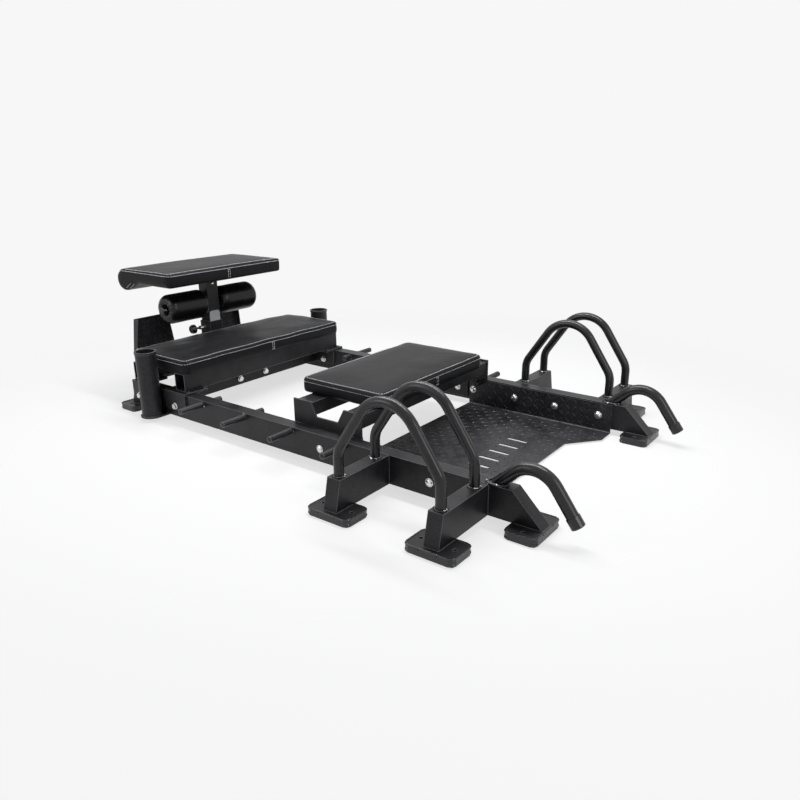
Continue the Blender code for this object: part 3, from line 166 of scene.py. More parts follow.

# %% [markdown]
# The frame is mild steel with a fine-texture black powder coat: a sprayed polyester that melts into a
# satin skin with a slight orange peel. The eye reads it from soft highlights, from the pale line along
# every folded edge, and from dust that greys it unevenly. That pale line is a painted highlight, as the
# colour is made lighter along each edge. The edges could be rounded in the mesh, but a Bevel node rounds
# them in the shading alone, leaves the solid pieces as they are, and also tells where an edge is.

# %% Powder coat
def powder_coat(name, dark, pale, roughness, edge_mm=3.0, shine=0.26, peel_mm=0.4):
    material = new_material(name)
    tree, shader, place = parts_of(material)
    # Orange peel is near 1 mm on the real coat. It is drawn at about 2 mm, so that it shows here.
    peel = add(tree, "ShaderNodeTexNoise", {"Vector": place, "Scale": every(2.2), "Detail": 2.0})
    dust = add(tree, "ShaderNodeTexNoise",
               {"Vector": place, "Scale": every(90.0), "Detail": 5.0, "Roughness": 0.62})
    speck = add(tree, "ShaderNodeTexNoise", {"Vector": place, "Scale": every(5.0), "Detail": 3.0})
    if edge_mm:
        rounded = add(tree, "ShaderNodeBevel", {"Radius": edge_mm / 1000.0}, samples=6)
    else:
        rounded = add(tree, "ShaderNodeNewGeometry")
    rounded = rounded.outputs["Normal"]
    flat = add(tree, "ShaderNodeNewGeometry").outputs["True Normal"]
    turned = add(tree, "ShaderNodeVectorMath", {0: rounded, 1: flat}, operation="DOT_PRODUCT")
    # The edge mask paints a highlight: the colour goes lighter where the rounded normal leaves the flat one.
    edge = add(tree, "ShaderNodeMapRange",
               {"Value": turned.outputs["Value"], "From Min": 0.990, "From Max": 0.88, "To Max": 0.75})
    tone = add(tree, "ShaderNodeMapRange",
               {"Value": dust, "From Min": 0.35, "From Max": 0.70, "To Max": 0.55})
    fleck = add(tree, "ShaderNodeMapRange",
                {"Value": speck, "From Min": 0.48, "From Max": 0.70, "To Max": 0.6})
    grit = add(tree, "ShaderNodeMath", {0: fleck, 1: tone}, operation="ADD", use_clamp=True)
    face = add(tree, "ShaderNodeMix",
               {FACTOR: grit, UNDER: linear(dark), OVER: linear(pale)}, data_type="RGBA")
    # The edge colour #8A8A8E is that painted highlight, laid over the dusty face colour.
    colour = add(tree, "ShaderNodeMix",
                 {FACTOR: edge, UNDER: face.outputs[MIXED], OVER: linear("#8A8A8E")}, data_type="RGBA")
    gloss = add(tree, "ShaderNodeMapRange", {"Value": dust, "From Min": 0.3, "From Max": 0.7,
                                             "To Min": roughness - 0.05, "To Max": roughness + 0.08})
    bump = add(tree, "ShaderNodeBump",
               {"Height": peel, "Distance": peel_mm / 1000.0, "Strength": 0.35, "Normal": rounded})
    set_inputs(tree, shader, {"Base Color": colour.outputs[MIXED], "Roughness": gloss, "Normal": bump,
                              "IOR": 1.5, "Specular IOR Level": shine})
    return material


frame_coat = powder_coat("black_powder_coat", "#0E0E10", "#2C2C2F", 0.38)
tube_coat = powder_coat("black_powder_coat_on_round_tube", "#101012", "#2A2A2D", 0.25, edge_mm=0, shine=0.34,
                        peel_mm=0.08)
plate_coat = powder_coat("black_powder_coat_on_tread_plate", "#161619", "#3E3E42", 0.36, edge_mm=1.0)
mark_coat = powder_coat("black_powder_coat_rubbed_by_soles", "#161619", "#424246", 0.30, edge_mm=0,
                        shine=0.36)
print("coats:", frame_coat.name, tube_coat.name, plate_coat.name, mark_coat.name)

# %% [markdown]
# The fasteners are steel with bright zinc plate, the axle is turned steel and the pad saddles' screws
# have black oxide. A metal has its colour in its reflection, which fine scratches spread a little, so
# one recipe with other colours and scratches serves for all of them.

# %% Bare metals
def bare_metal(name, dark, pale, roughness, scratch_mm, depth):
    material = new_material(name)
    tree, shader, place = parts_of(material)
    scratch = add(tree, "ShaderNodeTexNoise", {"Vector": place, "Scale": every(scratch_mm), "Detail": 4.0})
    cloud = add(tree, "ShaderNodeTexNoise", {"Vector": place, "Scale": every(20.0), "Detail": 3.0})
    colour = add(tree, "ShaderNodeMix",
                 {FACTOR: cloud, UNDER: linear(dark), OVER: linear(pale)}, data_type="RGBA")
    gloss = add(tree, "ShaderNodeMapRange",
                {"Value": scratch, "To Min": roughness - 0.08, "To Max": roughness + 0.12})
    bump = add(tree, "ShaderNodeBump", {"Height": scratch, "Distance": depth, "Strength": 0.4})
    set_inputs(tree, shader, {"Base Color": colour.outputs[MIXED], "Roughness": gloss, "Normal": bump,
                              "Metallic": 1.0})
    return material


zinc = bare_metal("bright_zinc_plate", "#B9B9B6", "#EDEDEA", 0.24, 1.5, 0.0001)
axle_steel = bare_metal("bright_turned_steel", "#8F8F8E", "#B8B8B6", 0.30, 1.0, 0.0001)
black_oxide = bare_metal("black_oxide_steel", "#1C1C1D", "#3A3A3B", 0.36, 1.0, 0.0001)
print("metals:", zinc.name, axle_steel.name, black_oxide.name)

# %% [markdown]
# Weld beads were coated with the frame, but round the hoops the coat has flaked off their tops in
# places and shows bright steel. A second coat of colour over the bare metal gives that: a noise with
# patches about a centimetre long chooses between the two, and a narrow range keeps its rims crisp.

# %% Weld metal
def flaked_weld(name, share):
    """Weld metal under a coat that has flaked off. share is how much of it is bare, from 0 to 1."""
    material = bare_metal(name, "#9A9A99", "#F0F0EE", 0.34, 2.5, 0.0006)
    tree, shader, place = parts_of(material)
    flakes = add(tree, "ShaderNodeTexNoise", {"Vector": place, "Scale": every(11.0), "Detail": 3.0})
    level = 0.5 + (0.5 - share) * 0.30
    bare = add(tree, "ShaderNodeMapRange",
               {"Value": flakes, "From Min": level - 0.015, "From Max": level + 0.015})
    metal_colour = shader.inputs["Base Color"].links[0].from_socket
    colour = add(tree, "ShaderNodeMix",
                 {FACTOR: bare, UNDER: linear("#17171A"), OVER: metal_colour}, data_type="RGBA")
    set_inputs(tree, shader, {"Base Color": colour.outputs[MIXED], "Metallic": bare})
    return material


hoop_weld = flaked_weld("flaked_weld_metal", 0.20)
coated_weld = flaked_weld("coated_weld_metal", 0.02)
print("welds:", hoop_weld.name, coated_weld.name)

# %% [markdown]
# The pads are covered in grained PVC faux leather, rolled with a leather grain and nearly black. Its
# soft sheen comes from a rough coat over the foam, and the grain breaks it up. The rollers have a
# smoother, glossier vinyl. Voronoi cells make the grain and a slow noise makes the rubbed places.

# %% Faux leather and roller vinyl
def vinyl(name, dark, pale, roughness, grain_mm, grain_depth, shine):
    material = new_material(name)
    tree, shader, place = parts_of(material)
    # Leather grain cells are 1 to 2 mm across. They are drawn at about 3 mm, so that they show.
    cells = add(tree, "ShaderNodeTexVoronoi", {"Vector": place, "Scale": every(grain_mm)},
                feature="SMOOTH_F1")
    folds = add(tree, "ShaderNodeTexNoise",
                {"Vector": place, "Scale": every(grain_mm * 6), "Detail": 6.0, "Roughness": 0.65})
    rubbed = add(tree, "ShaderNodeTexNoise", {"Vector": place, "Scale": every(160.0), "Detail": 3.0})
    grain = add(tree, "ShaderNodeMath", {0: cells, 1: 0.35, 2: folds}, operation="MULTIPLY_ADD")
    tone = add(tree, "ShaderNodeMapRange", {"Value": grain, "From Min": 0.35, "From Max": 0.95})
    wear = add(tree, "ShaderNodeMath", {0: rubbed, 1: tone}, operation="MULTIPLY")
    colour = add(tree, "ShaderNodeMix",
                 {FACTOR: wear, UNDER: linear(dark), OVER: linear(pale)}, data_type="RGBA")
    gloss = add(tree, "ShaderNodeMapRange",
                {"Value": folds, "To Min": roughness - 0.08, "To Max": roughness + 0.10})
    bump = add(tree, "ShaderNodeBump", {"Height": grain, "Distance": grain_depth, "Strength": 0.5})
    set_inputs(tree, shader, {"Base Color": colour.outputs[MIXED], "Roughness": gloss, "Normal": bump,
                              "Sheen Weight": 0.01, "Sheen Roughness": 0.5, "IOR": 1.5,
                              "Specular IOR Level": shine})
    return material


pad_vinyl = vinyl("grained_pvc_faux_leather", "#0A0A0C", "#202023", 0.44, 3.0, 0.0007, 0.12)
roller_vinyl = vinyl("smooth_pvc_roller_cover", "#060607", "#101012", 0.28, 6.0, 0.0001, 0.30)
print("covers:", pad_vinyl.name, roller_vinyl.name)

# %% [markdown]
# The seams are sewn with light grey bonded nylon thread, three plies laid round each other. Up close the
# plies draw slanted lines, and a slanted wave pattern gives them without a mesh for each ply.

# %% Thread
def bonded_nylon(name, dark, pale):
    material = new_material(name)
    tree, shader, place = parts_of(material)
    # The plies come round about once every 2 mm. A wave's scale counts in turns of 2 pi.
    ply = add(tree, "ShaderNodeTexWave", {"Vector": place, "Scale": every(2.0) / (2 * pi), "Distortion": 1.0},
              bands_direction="DIAGONAL").outputs["Fac"]
    colour = add(tree, "ShaderNodeMix",
                 {FACTOR: ply, UNDER: linear(dark), OVER: linear(pale)}, data_type="RGBA")
    bump = add(tree, "ShaderNodeBump", {"Height": ply, "Distance": 0.0002})
    set_inputs(tree, shader, {"Base Color": colour.outputs[MIXED], "Normal": bump, "Roughness": 0.7})
    return material


thread = bonded_nylon("light_grey_bonded_nylon_thread", "#9A9B9F", "#EDEEF0")
print("thread:", thread.name)

# %% [markdown]
# The shoes are moulded rubber with a thin gloss from the mould, and the caps and the knob are injection
# moulded ABS plastic. Both are one dark colour with a haze of dust, so they share a recipe, and again a
# Bevel node rounds the edges that a mould leaves round.

# %% Rubber and plastic
def moulded(name, dark, pale, roughness, grain_mm, edge_mm, ior):
    material = new_material(name)
    tree, shader, place = parts_of(material)
    grain = add(tree, "ShaderNodeTexNoise", {"Vector": place, "Scale": every(grain_mm), "Detail": 3.0})
    dust = add(tree, "ShaderNodeTexNoise", {"Vector": place, "Scale": every(30.0), "Detail": 4.0})
    rounded = add(tree, "ShaderNodeBevel", {"Radius": edge_mm / 1000.0}, samples=6)
    colour = add(tree, "ShaderNodeMix",
                 {FACTOR: dust, UNDER: linear(dark), OVER: linear(pale)}, data_type="RGBA")
    gloss = add(tree, "ShaderNodeMapRange",
                {"Value": dust, "To Min": roughness - 0.06, "To Max": roughness + 0.12})
    bump = add(tree, "ShaderNodeBump",
               {"Height": grain, "Distance": 0.0001, "Strength": 0.4, "Normal": rounded})
    set_inputs(tree, shader, {"Base Color": colour.outputs[MIXED], "Roughness": gloss, "Normal": bump,
                              "IOR": ior})
    return material


rubber = moulded("moulded_black_rubber", "#0A0A0B", "#1A1A1C", 0.24, 1.5, 2.0, 1.52)
# The glossy copy is also painted paler than the plain rubber: a painted highlight for the shoe ridges.
glossy_rubber_with_painted_highlight = moulded("moulded_black_rubber_glossy_with_painted_highlight", "#101011", "#222224", 0.12, 1.5, 2.0, 1.52)
plastic = moulded("moulded_black_plastic", "#0A0A0B", "#161618", 0.18, 1.0, 1.0, 1.46)
print("moulded:", rubber.name, glossy_rubber_with_painted_highlight.name, plastic.name)

# %% [markdown]
# The boards in the pads are birch plywood, seen only from below. The veneer's growth rings run along
# the board, so one noise is stretched lengthwise and colours it between two browns.

# %% Plywood
def plywood(name):
    material = new_material(name)
    tree, shader, place = parts_of(material)
    along = add(tree, "ShaderNodeMapping", {"Vector": place, "Scale": (1.0, 0.08, 1.0)})
    # Growth rings in a birch veneer show every 5 to 10 mm.
    rings = add(tree, "ShaderNodeTexNoise", {"Vector": along, "Scale": every(8.0), "Detail": 6.0})
    colour = add(tree, "ShaderNodeMix",
                 {FACTOR: rings, UNDER: linear("#8A6A45"), OVER: linear("#C4A276")}, data_type="RGBA")
    bump = add(tree, "ShaderNodeBump", {"Height": rings, "Distance": 0.0003})
    set_inputs(tree, shader, {"Base Color": colour.outputs[MIXED], "Normal": bump, "Roughness": 0.62})
    return material


birch = plywood("birch_plywood")
print("boards:", birch.name)

# %% [markdown]
# Just above the sleeve, a bright patch is painted on the post's front face: a painted highlight in
# pale steel grey. A painted image could show it, but here the patch is worked out from the coordinates:
# a rounded square about its own middle, whose rim a noise makes ragged, over the same powder coat.

# %% Post with a painted highlight
POST_HALF = 0.030
HIGHLIGHT_HALF_Y, HIGHLIGHT_HALF_Z, HIGHLIGHT_MIDDLE = 0.030, 0.032, 0.016


def painted_highlight_coat(name, face_x, centre_z):
    material = powder_coat(name, "#0E0E10", "#2C2C2F", 0.38)
    tree, shader, place = parts_of(material)
    axes = add(tree, "ShaderNodeSeparateXYZ", {"Vector": place}).outputs
    ragged = add(tree, "ShaderNodeTexNoise", {"Vector": place, "Scale": every(9.0), "Detail": 5.0})
    above = add(tree, "ShaderNodeMath", {0: axes["Z"], 1: centre_z}, operation="SUBTRACT")
    # Adding fifth powers of the two distances gives a square with round corners.
    powers = []
    for distance, half in ((axes["Y"], HIGHLIGHT_HALF_Y), (above, HIGHLIGHT_HALF_Z)):
        share = add(tree, "ShaderNodeMath", {0: distance, 1: half}, operation="DIVIDE")
        share = add(tree, "ShaderNodeMath", {0: share}, operation="ABSOLUTE")
        powers.append(add(tree, "ShaderNodeMath", {0: share, 1: 5.0}, operation="POWER"))
    reach = add(tree, "ShaderNodeMath", {0: powers[0], 1: powers[1]}, operation="ADD")
    rim = add(tree, "ShaderNodeMath", {0: ragged, 1: 0.9, 2: reach}, operation="MULTIPLY_ADD")
    patch = add(tree, "ShaderNodeMapRange", {"Value": rim, "From Min": 1.45, "From Max": 1.25})
    # Only the front face gets the painted highlight.
    front = add(tree, "ShaderNodeMath", {0: axes["X"], 1: face_x - 0.002}, operation="GREATER_THAN")
    bare = add(tree, "ShaderNodeMath", {0: patch, 1: front}, operation="MULTIPLY")
    coat_colour = shader.inputs["Base Color"].links[0].from_socket
    streak = add(tree, "ShaderNodeMapping", {"Vector": place, "Scale": (1.0, 1.0, 0.12)})
    # Streaks about 2 mm apart run up the painted highlight.
    highlight_streaks = add(tree, "ShaderNodeTexNoise", {"Vector": streak, "Scale": every(2.0), "Detail": 2.0})
    steel = add(tree, "ShaderNodeMix",
                {FACTOR: highlight_streaks, UNDER: linear("#A4A5A6"), OVER: linear("#DEDFE0")}, data_type="RGBA")
    # Inside the patch the colour is painted pale steel grey: the painted highlight.
    colour = add(tree, "ShaderNodeMix",
                 {FACTOR: bare, UNDER: coat_colour, OVER: steel.outputs[MIXED]}, data_type="RGBA")
    set_inputs(tree, shader, {"Base Color": colour.outputs[MIXED]})
    return material


# The painted highlight's middle sits just above the sleeve, and the print gives its top.
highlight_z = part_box("post_sleeve")[1].z + HIGHLIGHT_MIDDLE
rubbed = painted_highlight_coat("black_powder_coat_with_painted_highlight", POST_X + POST_HALF, highlight_z)
print("rubbed patch up to z %.3f" % (highlight_z + HIGHLIGHT_HALF_Z))

# %% [markdown]
# Every solid that keeps its shape gets the finish of the real piece. The record gives each one a
# material slot, and a few pieces have a finish of their own. The round tubes, the pads and the rollers
# are replaced further on by finer meshes.

# %% Finishes on the solid pieces
FINISH_OF_SLOT = {"zinc": zinc, "rubber": rubber, "plastic": plastic, "vinyl": pad_vinyl,
                  "roller_vinyl": roller_vinyl, "plywood": birch, "powder_coat": frame_coat}
# The height post's finish, rubbed, is the coat with the painted highlight.
FINISH_OF_NODE = {"tread_plate_tray": plate_coat, "toe_plate_left": plate_coat, "toe_plate_right": plate_coat,
                  "height_post": rubbed, "roller_axle": axle_steel}
slot_of = {row["node"]: row["material_slot"] for row in frame["record"]["subparts"]}
for name, obj in nodes.items():
    obj.data.materials.clear()
    obj.data.materials.append(FINISH_OF_NODE.get(name) or FINISH_OF_SLOT[slot_of[name]])
print("finished", len(nodes), "solids")

# %% [markdown]
# The finer pieces are made point by point in mesh code, mostly as rings of points that are joined by a
# skin of faces. Blender's curve and screw tools could make some of them, but rings give each point a
# known place, which the seams, the welds and the cloth need.

# %% Ring helpers
def around(count):
    """Cosine and sine of evenly spaced angles round a full turn."""
    return [(cos(2 * pi * k / count), sin(2 * pi * k / count)) for k in range(count)]


def arc(centre, radius, start, end, steps):
    angles = [radians(start + (end - start) * i / steps) for i in range(steps + 1)]
    return [(centre[0] + radius * cos(a), centre[1] + radius * sin(a)) for a in angles]


def skin(bm, rings, ends=False):
    """Faces between each ring and the next, and over the two ends. A ring of one point makes a tip."""
    for a, b in zip(rings, rings[1:]):
        count = max(len(a), len(b))
        for k in range(count):
            m = (k + 1) % count
            corners = (a[k % len(a)], a[m % len(a)], b[m % len(b)], b[k % len(b)])
            corners = list(dict.fromkeys(corners))
            if len(corners) > 2:
                bm.faces.new(corners)
    if ends:
        bm.faces.new(rings[0])
        bm.faces.new(rings[-1])


def place_piece(name, bm, material, body, smooth=40.0):
    """Turn a mesh in hand into a linked object that rides on a body. Sharper folds than smooth stay."""
    mesh = bpy.data.meshes.new(name)
    bmesh.ops.recalc_face_normals(bm, faces=bm.faces)
    bm.to_mesh(mesh)
    bm.free()
    mesh.materials.append(material)
    mesh.shade_smooth()
    mesh.set_sharp_from_angle(angle=radians(smooth))
    obj = new_object(name, mesh)
    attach(obj, body)
    return obj


print("a turn in 4:", [(round(c), round(s)) for c, s in around(4)])

# %% [markdown]
# Two shapes come back often. A lathe turns a profile about an axis, for bolt heads, peg ends and
# rollers. A sweep carries a circle along a path, for bent tube.

# %% Lathe and sweep
def frame_at(origin, axis):
    """A matrix whose Z points along an axis from an origin."""
    turn = Vector((0.0, 0.0, 1.0)).rotation_difference(Vector(axis)).to_matrix().to_4x4()
    return Matrix.Translation(origin) @ turn


def lathe(bm, profile, matrix, steps):
    """Turn (radius, height) points about Z, then place them. A radius of 0 is one point on the axis."""
    rings = []
    for radius, height in profile:
        turned = around(steps) if radius else [(0.0, 0.0)]
        rings.append([bm.verts.new(matrix @ Vector((radius * c, radius * s, height))) for c, s in turned])
    skin(bm, rings)
    return rings


def sweep(bm, path, y, radius, sides):
    """A round tube along (x, z) points at one y."""
    points = [Vector(p) for p in path]
    runs = [(b - a).normalized() for a, b in zip(points, points[1:])]
    rings = []
    for i, point in enumerate(points):
        before, after = runs[max(i - 1, 0)], runs[min(i, len(runs) - 1)]
        along = (before + after).normalized() * radius
        rings.append([bm.verts.new((point.x - along.y * c, y + radius * s, point.y + along.x * c))
                      for c, s in around(sides)])
    skin(bm, rings, ends=True)


TUBE_SIDES = 40
print("sides of a tube:", TUBE_SIDES)

# %% [markdown]
# The grip hoops are one length of 32 mm tube each, bent cold on a former, so their bends are true
# arcs: a knee over each leg, two straight slopes and a round top. The fine version follows the solid
# one point for point, with many more sides, because a faceted tube breaks its long highlight.

# %% Grip hoops
HOOP_R = 0.016
KNEE, KNEE_R, CROWN_R, LEG_H = 34.0, 0.080, 0.109, 0.058


def hoop_path():
    """(x, z) points of half a hoop, from a foot to the top, and then of its mirror image."""
    knee = radians(KNEE)
    bend = arc((KNEE_R, RAIL_TOP + LEG_H), KNEE_R, 180, 180 - KNEE, 10)
    x0, z0 = bend[-1]
    half_span = (FRONT_X - REAR_X) / 2
    run = half_span - x0 - CROWN_R * cos(knee)
    centre_z = z0 + run / tan(knee) - CROWN_R * sin(knee)
    top = arc((half_span, centre_z), CROWN_R, 180 - KNEE, 90, 16)
    half = [(0.0, RAIL_TOP)] + bend + top
    whole = half + [(2 * half_span - x, z) for x, z in reversed(half[:-1])]
    return [(REAR_X + x, z) for x, z in whole]


hoop_nodes = ["grip_hoop_%s_%s" % (where, side) for side in SIDES for where in ("inner", "outer")]
for node in hoop_nodes:
    bm = bmesh.new()
    sweep(bm, hoop_path(), middle(node).y, HOOP_R, TUBE_SIDES)
    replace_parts(place_piece("fine_" + node, bm, tube_coat, "frame", 50.0), node)
print("hoops at y", [round(middle(node).y, 3) for node in hoop_nodes])

# %% [markdown]
# Each end handle is 38 mm tube: it rises from the rail, bends over and drops past the rail's end,
# where a plastic cap closes it. It is swept like the hoops, from a point just inside the rail, so that
# its slanted foot meets the steel all round.

# %% End handles
HANDLE_R = 0.019
HANDLE_X = REAR_X + 0.403
RISE_ANGLE, RISE_L, BEND, BEND_R, TAIL_L, SUNK = 42.0, 0.070, 96.0, 0.088, 0.119, 0.004


def handle_path():
    rise, fall = radians(RISE_ANGLE), radians(BEND - RISE_ANGLE)
    start = (HANDLE_X + RISE_L * cos(rise), RAIL_TOP + RISE_L * sin(rise))
    centre = (start[0] + BEND_R * sin(rise), start[1] - BEND_R * cos(rise))
    bend = arc(centre, BEND_R, 90 + RISE_ANGLE, 90 + RISE_ANGLE - BEND, 28)
    tip = (bend[-1][0] + TAIL_L * cos(fall), bend[-1][1] - TAIL_L * sin(fall))
    return [(HANDLE_X - SUNK * cos(rise), RAIL_TOP - SUNK * sin(rise))] + bend + [tip]


for side, sign in SIDES.items():
    bm = bmesh.new()
    sweep(bm, handle_path(), sign * RAIL_Y, HANDLE_R, TUBE_SIDES)
    handle = place_piece("fine_end_handle_" + side, bm, tube_coat, "frame", 50.0)
    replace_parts(handle, "end_handle_" + side)
print("handle tip", [round(c, 3) for c in handle_path()[-1]])

# %% [markdown]
# Tube joints are welded all round. A bead is a row of overlapping drops, so it is swept round the
# joint with a radius that rises and falls every few millimetres. A bump could draw the ripple, but the
# bead also fills the corner between the tubes, which needs a shape.

# %% Weld beads
BEAD_SIDES, RIPPLE_MM = 8, 4.5


def bead(bm, path, size, ripple_mm=RIPPLE_MM, closed=True):
    """A rippled bead along 3-D points."""
    points = [Vector(p) for p in path]
    count = len(points)
    rings = []
    travelled = 0.0
    for i, point in enumerate(points):
        last = points[i - 1] if (i or closed) else point
        following = points[(i + 1) % count] if (i < count - 1 or closed) else point
        along = (following - last).normalized()
        travelled += (point - points[i - 1]).length if i else 0.0
        side = along.orthogonal().normalized()
        over = along.cross(side)
        swell = size * (0.82 + 0.24 * abs(sin(pi * travelled * 1000.0 / ripple_mm)))
        rings.append([bm.verts.new(point + (side * c + over * s) * swell) for c, s in around(BEAD_SIDES)])
    if closed:
        # The first ring is turned so that its points meet the nearest ones of the last ring.
        shift = min(range(BEAD_SIDES), key=lambda s: (rings[0][s].co - rings[-1][0].co).length)
        rings.append(rings[0][shift:] + rings[0][:shift])
    skin(bm, rings, ends=not closed)


def ellipse(centre, u, v, count=72):
    centre, u, v = Vector(centre), Vector(u), Vector(v)
    return [centre + u * c + v * s for c, s in around(count)]


# Each bead stands a little outside its tube. The handles have a second pass round the first.
WELD_Z = RAIL_TOP + 0.001
bm = bmesh.new()
for node in hoop_nodes:
    for x in (REAR_X, FRONT_X):
        wide = HOOP_R + 0.0012
        bead(bm, ellipse((x, middle(node).y, WELD_Z), (wide, 0, 0), (0, wide, 0)), 0.0040)
hoop_beads = place_piece("hoop_weld_beads", bm, hoop_weld, "frame", 180.0)
bm = bmesh.new()
for sign in SIDES.values():
    for out in (0.001, 0.0055):
        long = HANDLE_R / sin(radians(RISE_ANGLE)) + out
        bead(bm, ellipse((HANDLE_X, sign * RAIL_Y, WELD_Z), (long, 0, 0), (0, HANDLE_R + out, 0)), 0.0038)
place_piece("handle_weld_beads", bm, coated_weld, "frame", 180.0)
print("hoop bead faces:", len(hoop_beads.data.polygons))

# %% [markdown]
# The band pegs pass right through the rails and are welded at both faces. Their sawn ends have a small
# chamfer and are coated like the rest, so each end gets a thin lathed cap over the solid peg.

# %% Peg welds and ends
PEG_R = 0.012
PEG_OUT, PEG_INSIDE = 0.104, 0.040
PEG_Z = RAIL_TOP - 0.016
PEG_XS = [REAR_X + x for x in (-0.900, -0.656, -0.412, -0.168)]
PEG_END = [(0.0, 0.0009), (PEG_R - 0.0018, 0.0009), (PEG_R - 0.0006, 0.0002), (PEG_R - 0.0006, -0.001),
           (0.0, -0.001)]
bm = bmesh.new()
ends = bmesh.new()
for sign in SIDES.values():
    for x in PEG_XS:
        for face in (OUTER_FACE, INNER_FACE):
            bead(bm, ellipse((x, sign * face, PEG_Z), (PEG_R, 0, 0), (0, 0, PEG_R), 48), 0.0024)
        lathe(ends, PEG_END, frame_at((x, sign * (OUTER_FACE + PEG_OUT), PEG_Z), (0, sign, 0)), 28)
        lathe(ends, PEG_END, frame_at((x, sign * (INNER_FACE - PEG_INSIDE), PEG_Z), (0, -sign, 0)), 28)
place_piece("peg_weld_beads", bm, coated_weld, "frame", 180.0)
place_piece("peg_sawn_ends", ends, frame_coat, "frame")
print("pegs:", len(SIDES) * len(PEG_XS))

# %% [markdown]
# The outriggers and foot plates are fillet welded before the coat goes on, so those beads are black
# like the rest. They are straight runs along the joints, made by the same bead with open ends.

# %% Coated fillet welds
FOOT_Y = (0.646, 0.718)
UPRIGHT_BEAD, TOP_BEAD = 0.0022, 0.0018
TUBE_HALF = 0.025


def line(a, b, step=0.0015):
    a, b = Vector(a), Vector(b)
    count = max(2, int((b - a).length / step))
    return [a.lerp(b, i / count) for i in range(count + 1)]


bm = bmesh.new()
for sign in SIDES.values():
    face = sign * OUTER_FACE
    for x in (REAR_X, FRONT_X):
        for edge_x in (x - TUBE_HALF, x + TUBE_HALF):
            upright = line((edge_x, face, RAIL_LOW + 0.004), (edge_x, face, RAIL_TOP - 0.004))
            foot = line((edge_x, sign * FOOT_Y[0], RAIL_LOW), (edge_x, sign * FOOT_Y[1], RAIL_LOW))
            for run in (upright, foot):
                bead(bm, run, UPRIGHT_BEAD, closed=False)
        bead(bm, line((x - 0.023, face, RAIL_TOP), (x + 0.023, face, RAIL_TOP)), TOP_BEAD, closed=False)
place_piece("coated_fillet_welds", bm, frame_coat, "frame", 180.0)
print("fillet welds from z %.3f" % RAIL_LOW)

# %% [markdown]
# Domed flange bolts hold the tray and the front pad's side plates to the rails. Each visible head is a
# low dome on a washer, turned on the lathe. The solid pieces have plain heads in the same places, which
# these cover, and the nut end inside looks the same from a distance.

# %% Domed bolts
WASHER_TOP = 0.0022
BOLT_Z = RAIL_TOP - 0.052
TRAY_BOLT_X = [REAR_X + x for x in (-0.198, 0.0, 0.181)] + [FRONT_X]
SIDE_PLATE_BOLT_X = REAR_X - 0.275
LIP_FACE, SIDE_PLATE_FACE, OUTSIDE = INNER_FACE - 0.0043, INNER_FACE - 0.0063, OUTER_FACE + 0.0003


def dome_profile(radius, washer, height):
    dome = [(radius * cos(radians(a)), WASHER_TOP + (height - WASHER_TOP) * sin(radians(a)))
            for a in range(15, 90, 15)]
    return [(0.0, -0.0004), (washer, -0.0004), (washer, 0.0016), (washer - 0.0006, WASHER_TOP),
            (radius, WASHER_TOP)] + dome + [(0.0, height)]


bm = bmesh.new()
for sign in SIDES.values():
    heads = [(x, LIP_FACE, -sign) for x in TRAY_BOLT_X] + [(SIDE_PLATE_BOLT_X, SIDE_PLATE_FACE, -sign)]
    heads += [(x, OUTSIDE, sign) for x in (SIDE_PLATE_BOLT_X, TRAY_BOLT_X[0], TRAY_BOLT_X[2])]
    for x, face, out in heads:
        lathe(bm, dome_profile(0.0119, 0.0145, 0.0083), frame_at((x, sign * face, BOLT_Z), (0, out, 0)), 32)
place_piece("domed_bolt_heads", bm, zinc, "frame", 35.0)
print("domed heads:", len(SIDES) * len(heads))

# %% [markdown]
# One smaller domed bolt goes right through the top of the post, where it holds the top pad's plate.

# %% Post bolt
POST_BOLT_Z = 0.476
bm = bmesh.new()
for out in (1, -1):
    place = frame_at((POST_X + out * POST_HALF, 0.0, POST_BOLT_Z), (out, 0, 0))
    lathe(bm, dome_profile(0.0075, 0.0092, 0.0062), place, 32)
place_piece("post_bolt_heads", bm, zinc, "post_unit", 35.0)
print("post bolt at z", POST_BOLT_Z)

# %% [markdown]
# Hexagon bolts clamp the rear saddles. A head is a chamfered hexagon on a washer, so it is three rings
# of six points on a lathed disc: the top ring is smaller, as the chamfer takes the six corners off.

# %% Hexagon heads
WASHER_R, WASHER_H, HEX_R, HEX_H = 0.0149, 0.0029, 0.0120, 0.0085
REAR_BOLT_X = REAR_X - 1.306


def hex_head(bm, origin, axis):
    matrix = frame_at(origin, axis)
    lathe(bm, [(0.0, 0.0), (WASHER_R, 0.0), (WASHER_R, WASHER_H * 0.8), (WASHER_R - 0.0006, WASHER_H),
               (0.0, WASHER_H)], matrix, 32)
    levels = ((1.0, WASHER_H), (1.0, WASHER_H + HEX_H * 0.82), (0.86, WASHER_H + HEX_H))
    rings = [[bm.verts.new(matrix @ Vector((HEX_R * scale * c, HEX_R * scale * s, height)))
              for c, s in around(6)] for scale, height in levels]
    skin(bm, rings, ends=True)


bm = bmesh.new()
for sign in SIDES.values():
    for face, out in ((OUTER_FACE + 0.0073, sign), (INNER_FACE - 0.0073, -sign)):
        hex_head(bm, (REAR_BOLT_X, sign * face, BOLT_Z), (0, out, 0))
place_piece("rear_saddle_bolt_heads", bm, zinc, "frame", 30.0)
print("hexagon heads:", 2 * len(SIDES))

# %% [markdown]
# Small button screws of black oxide steel close the top of each front saddle.

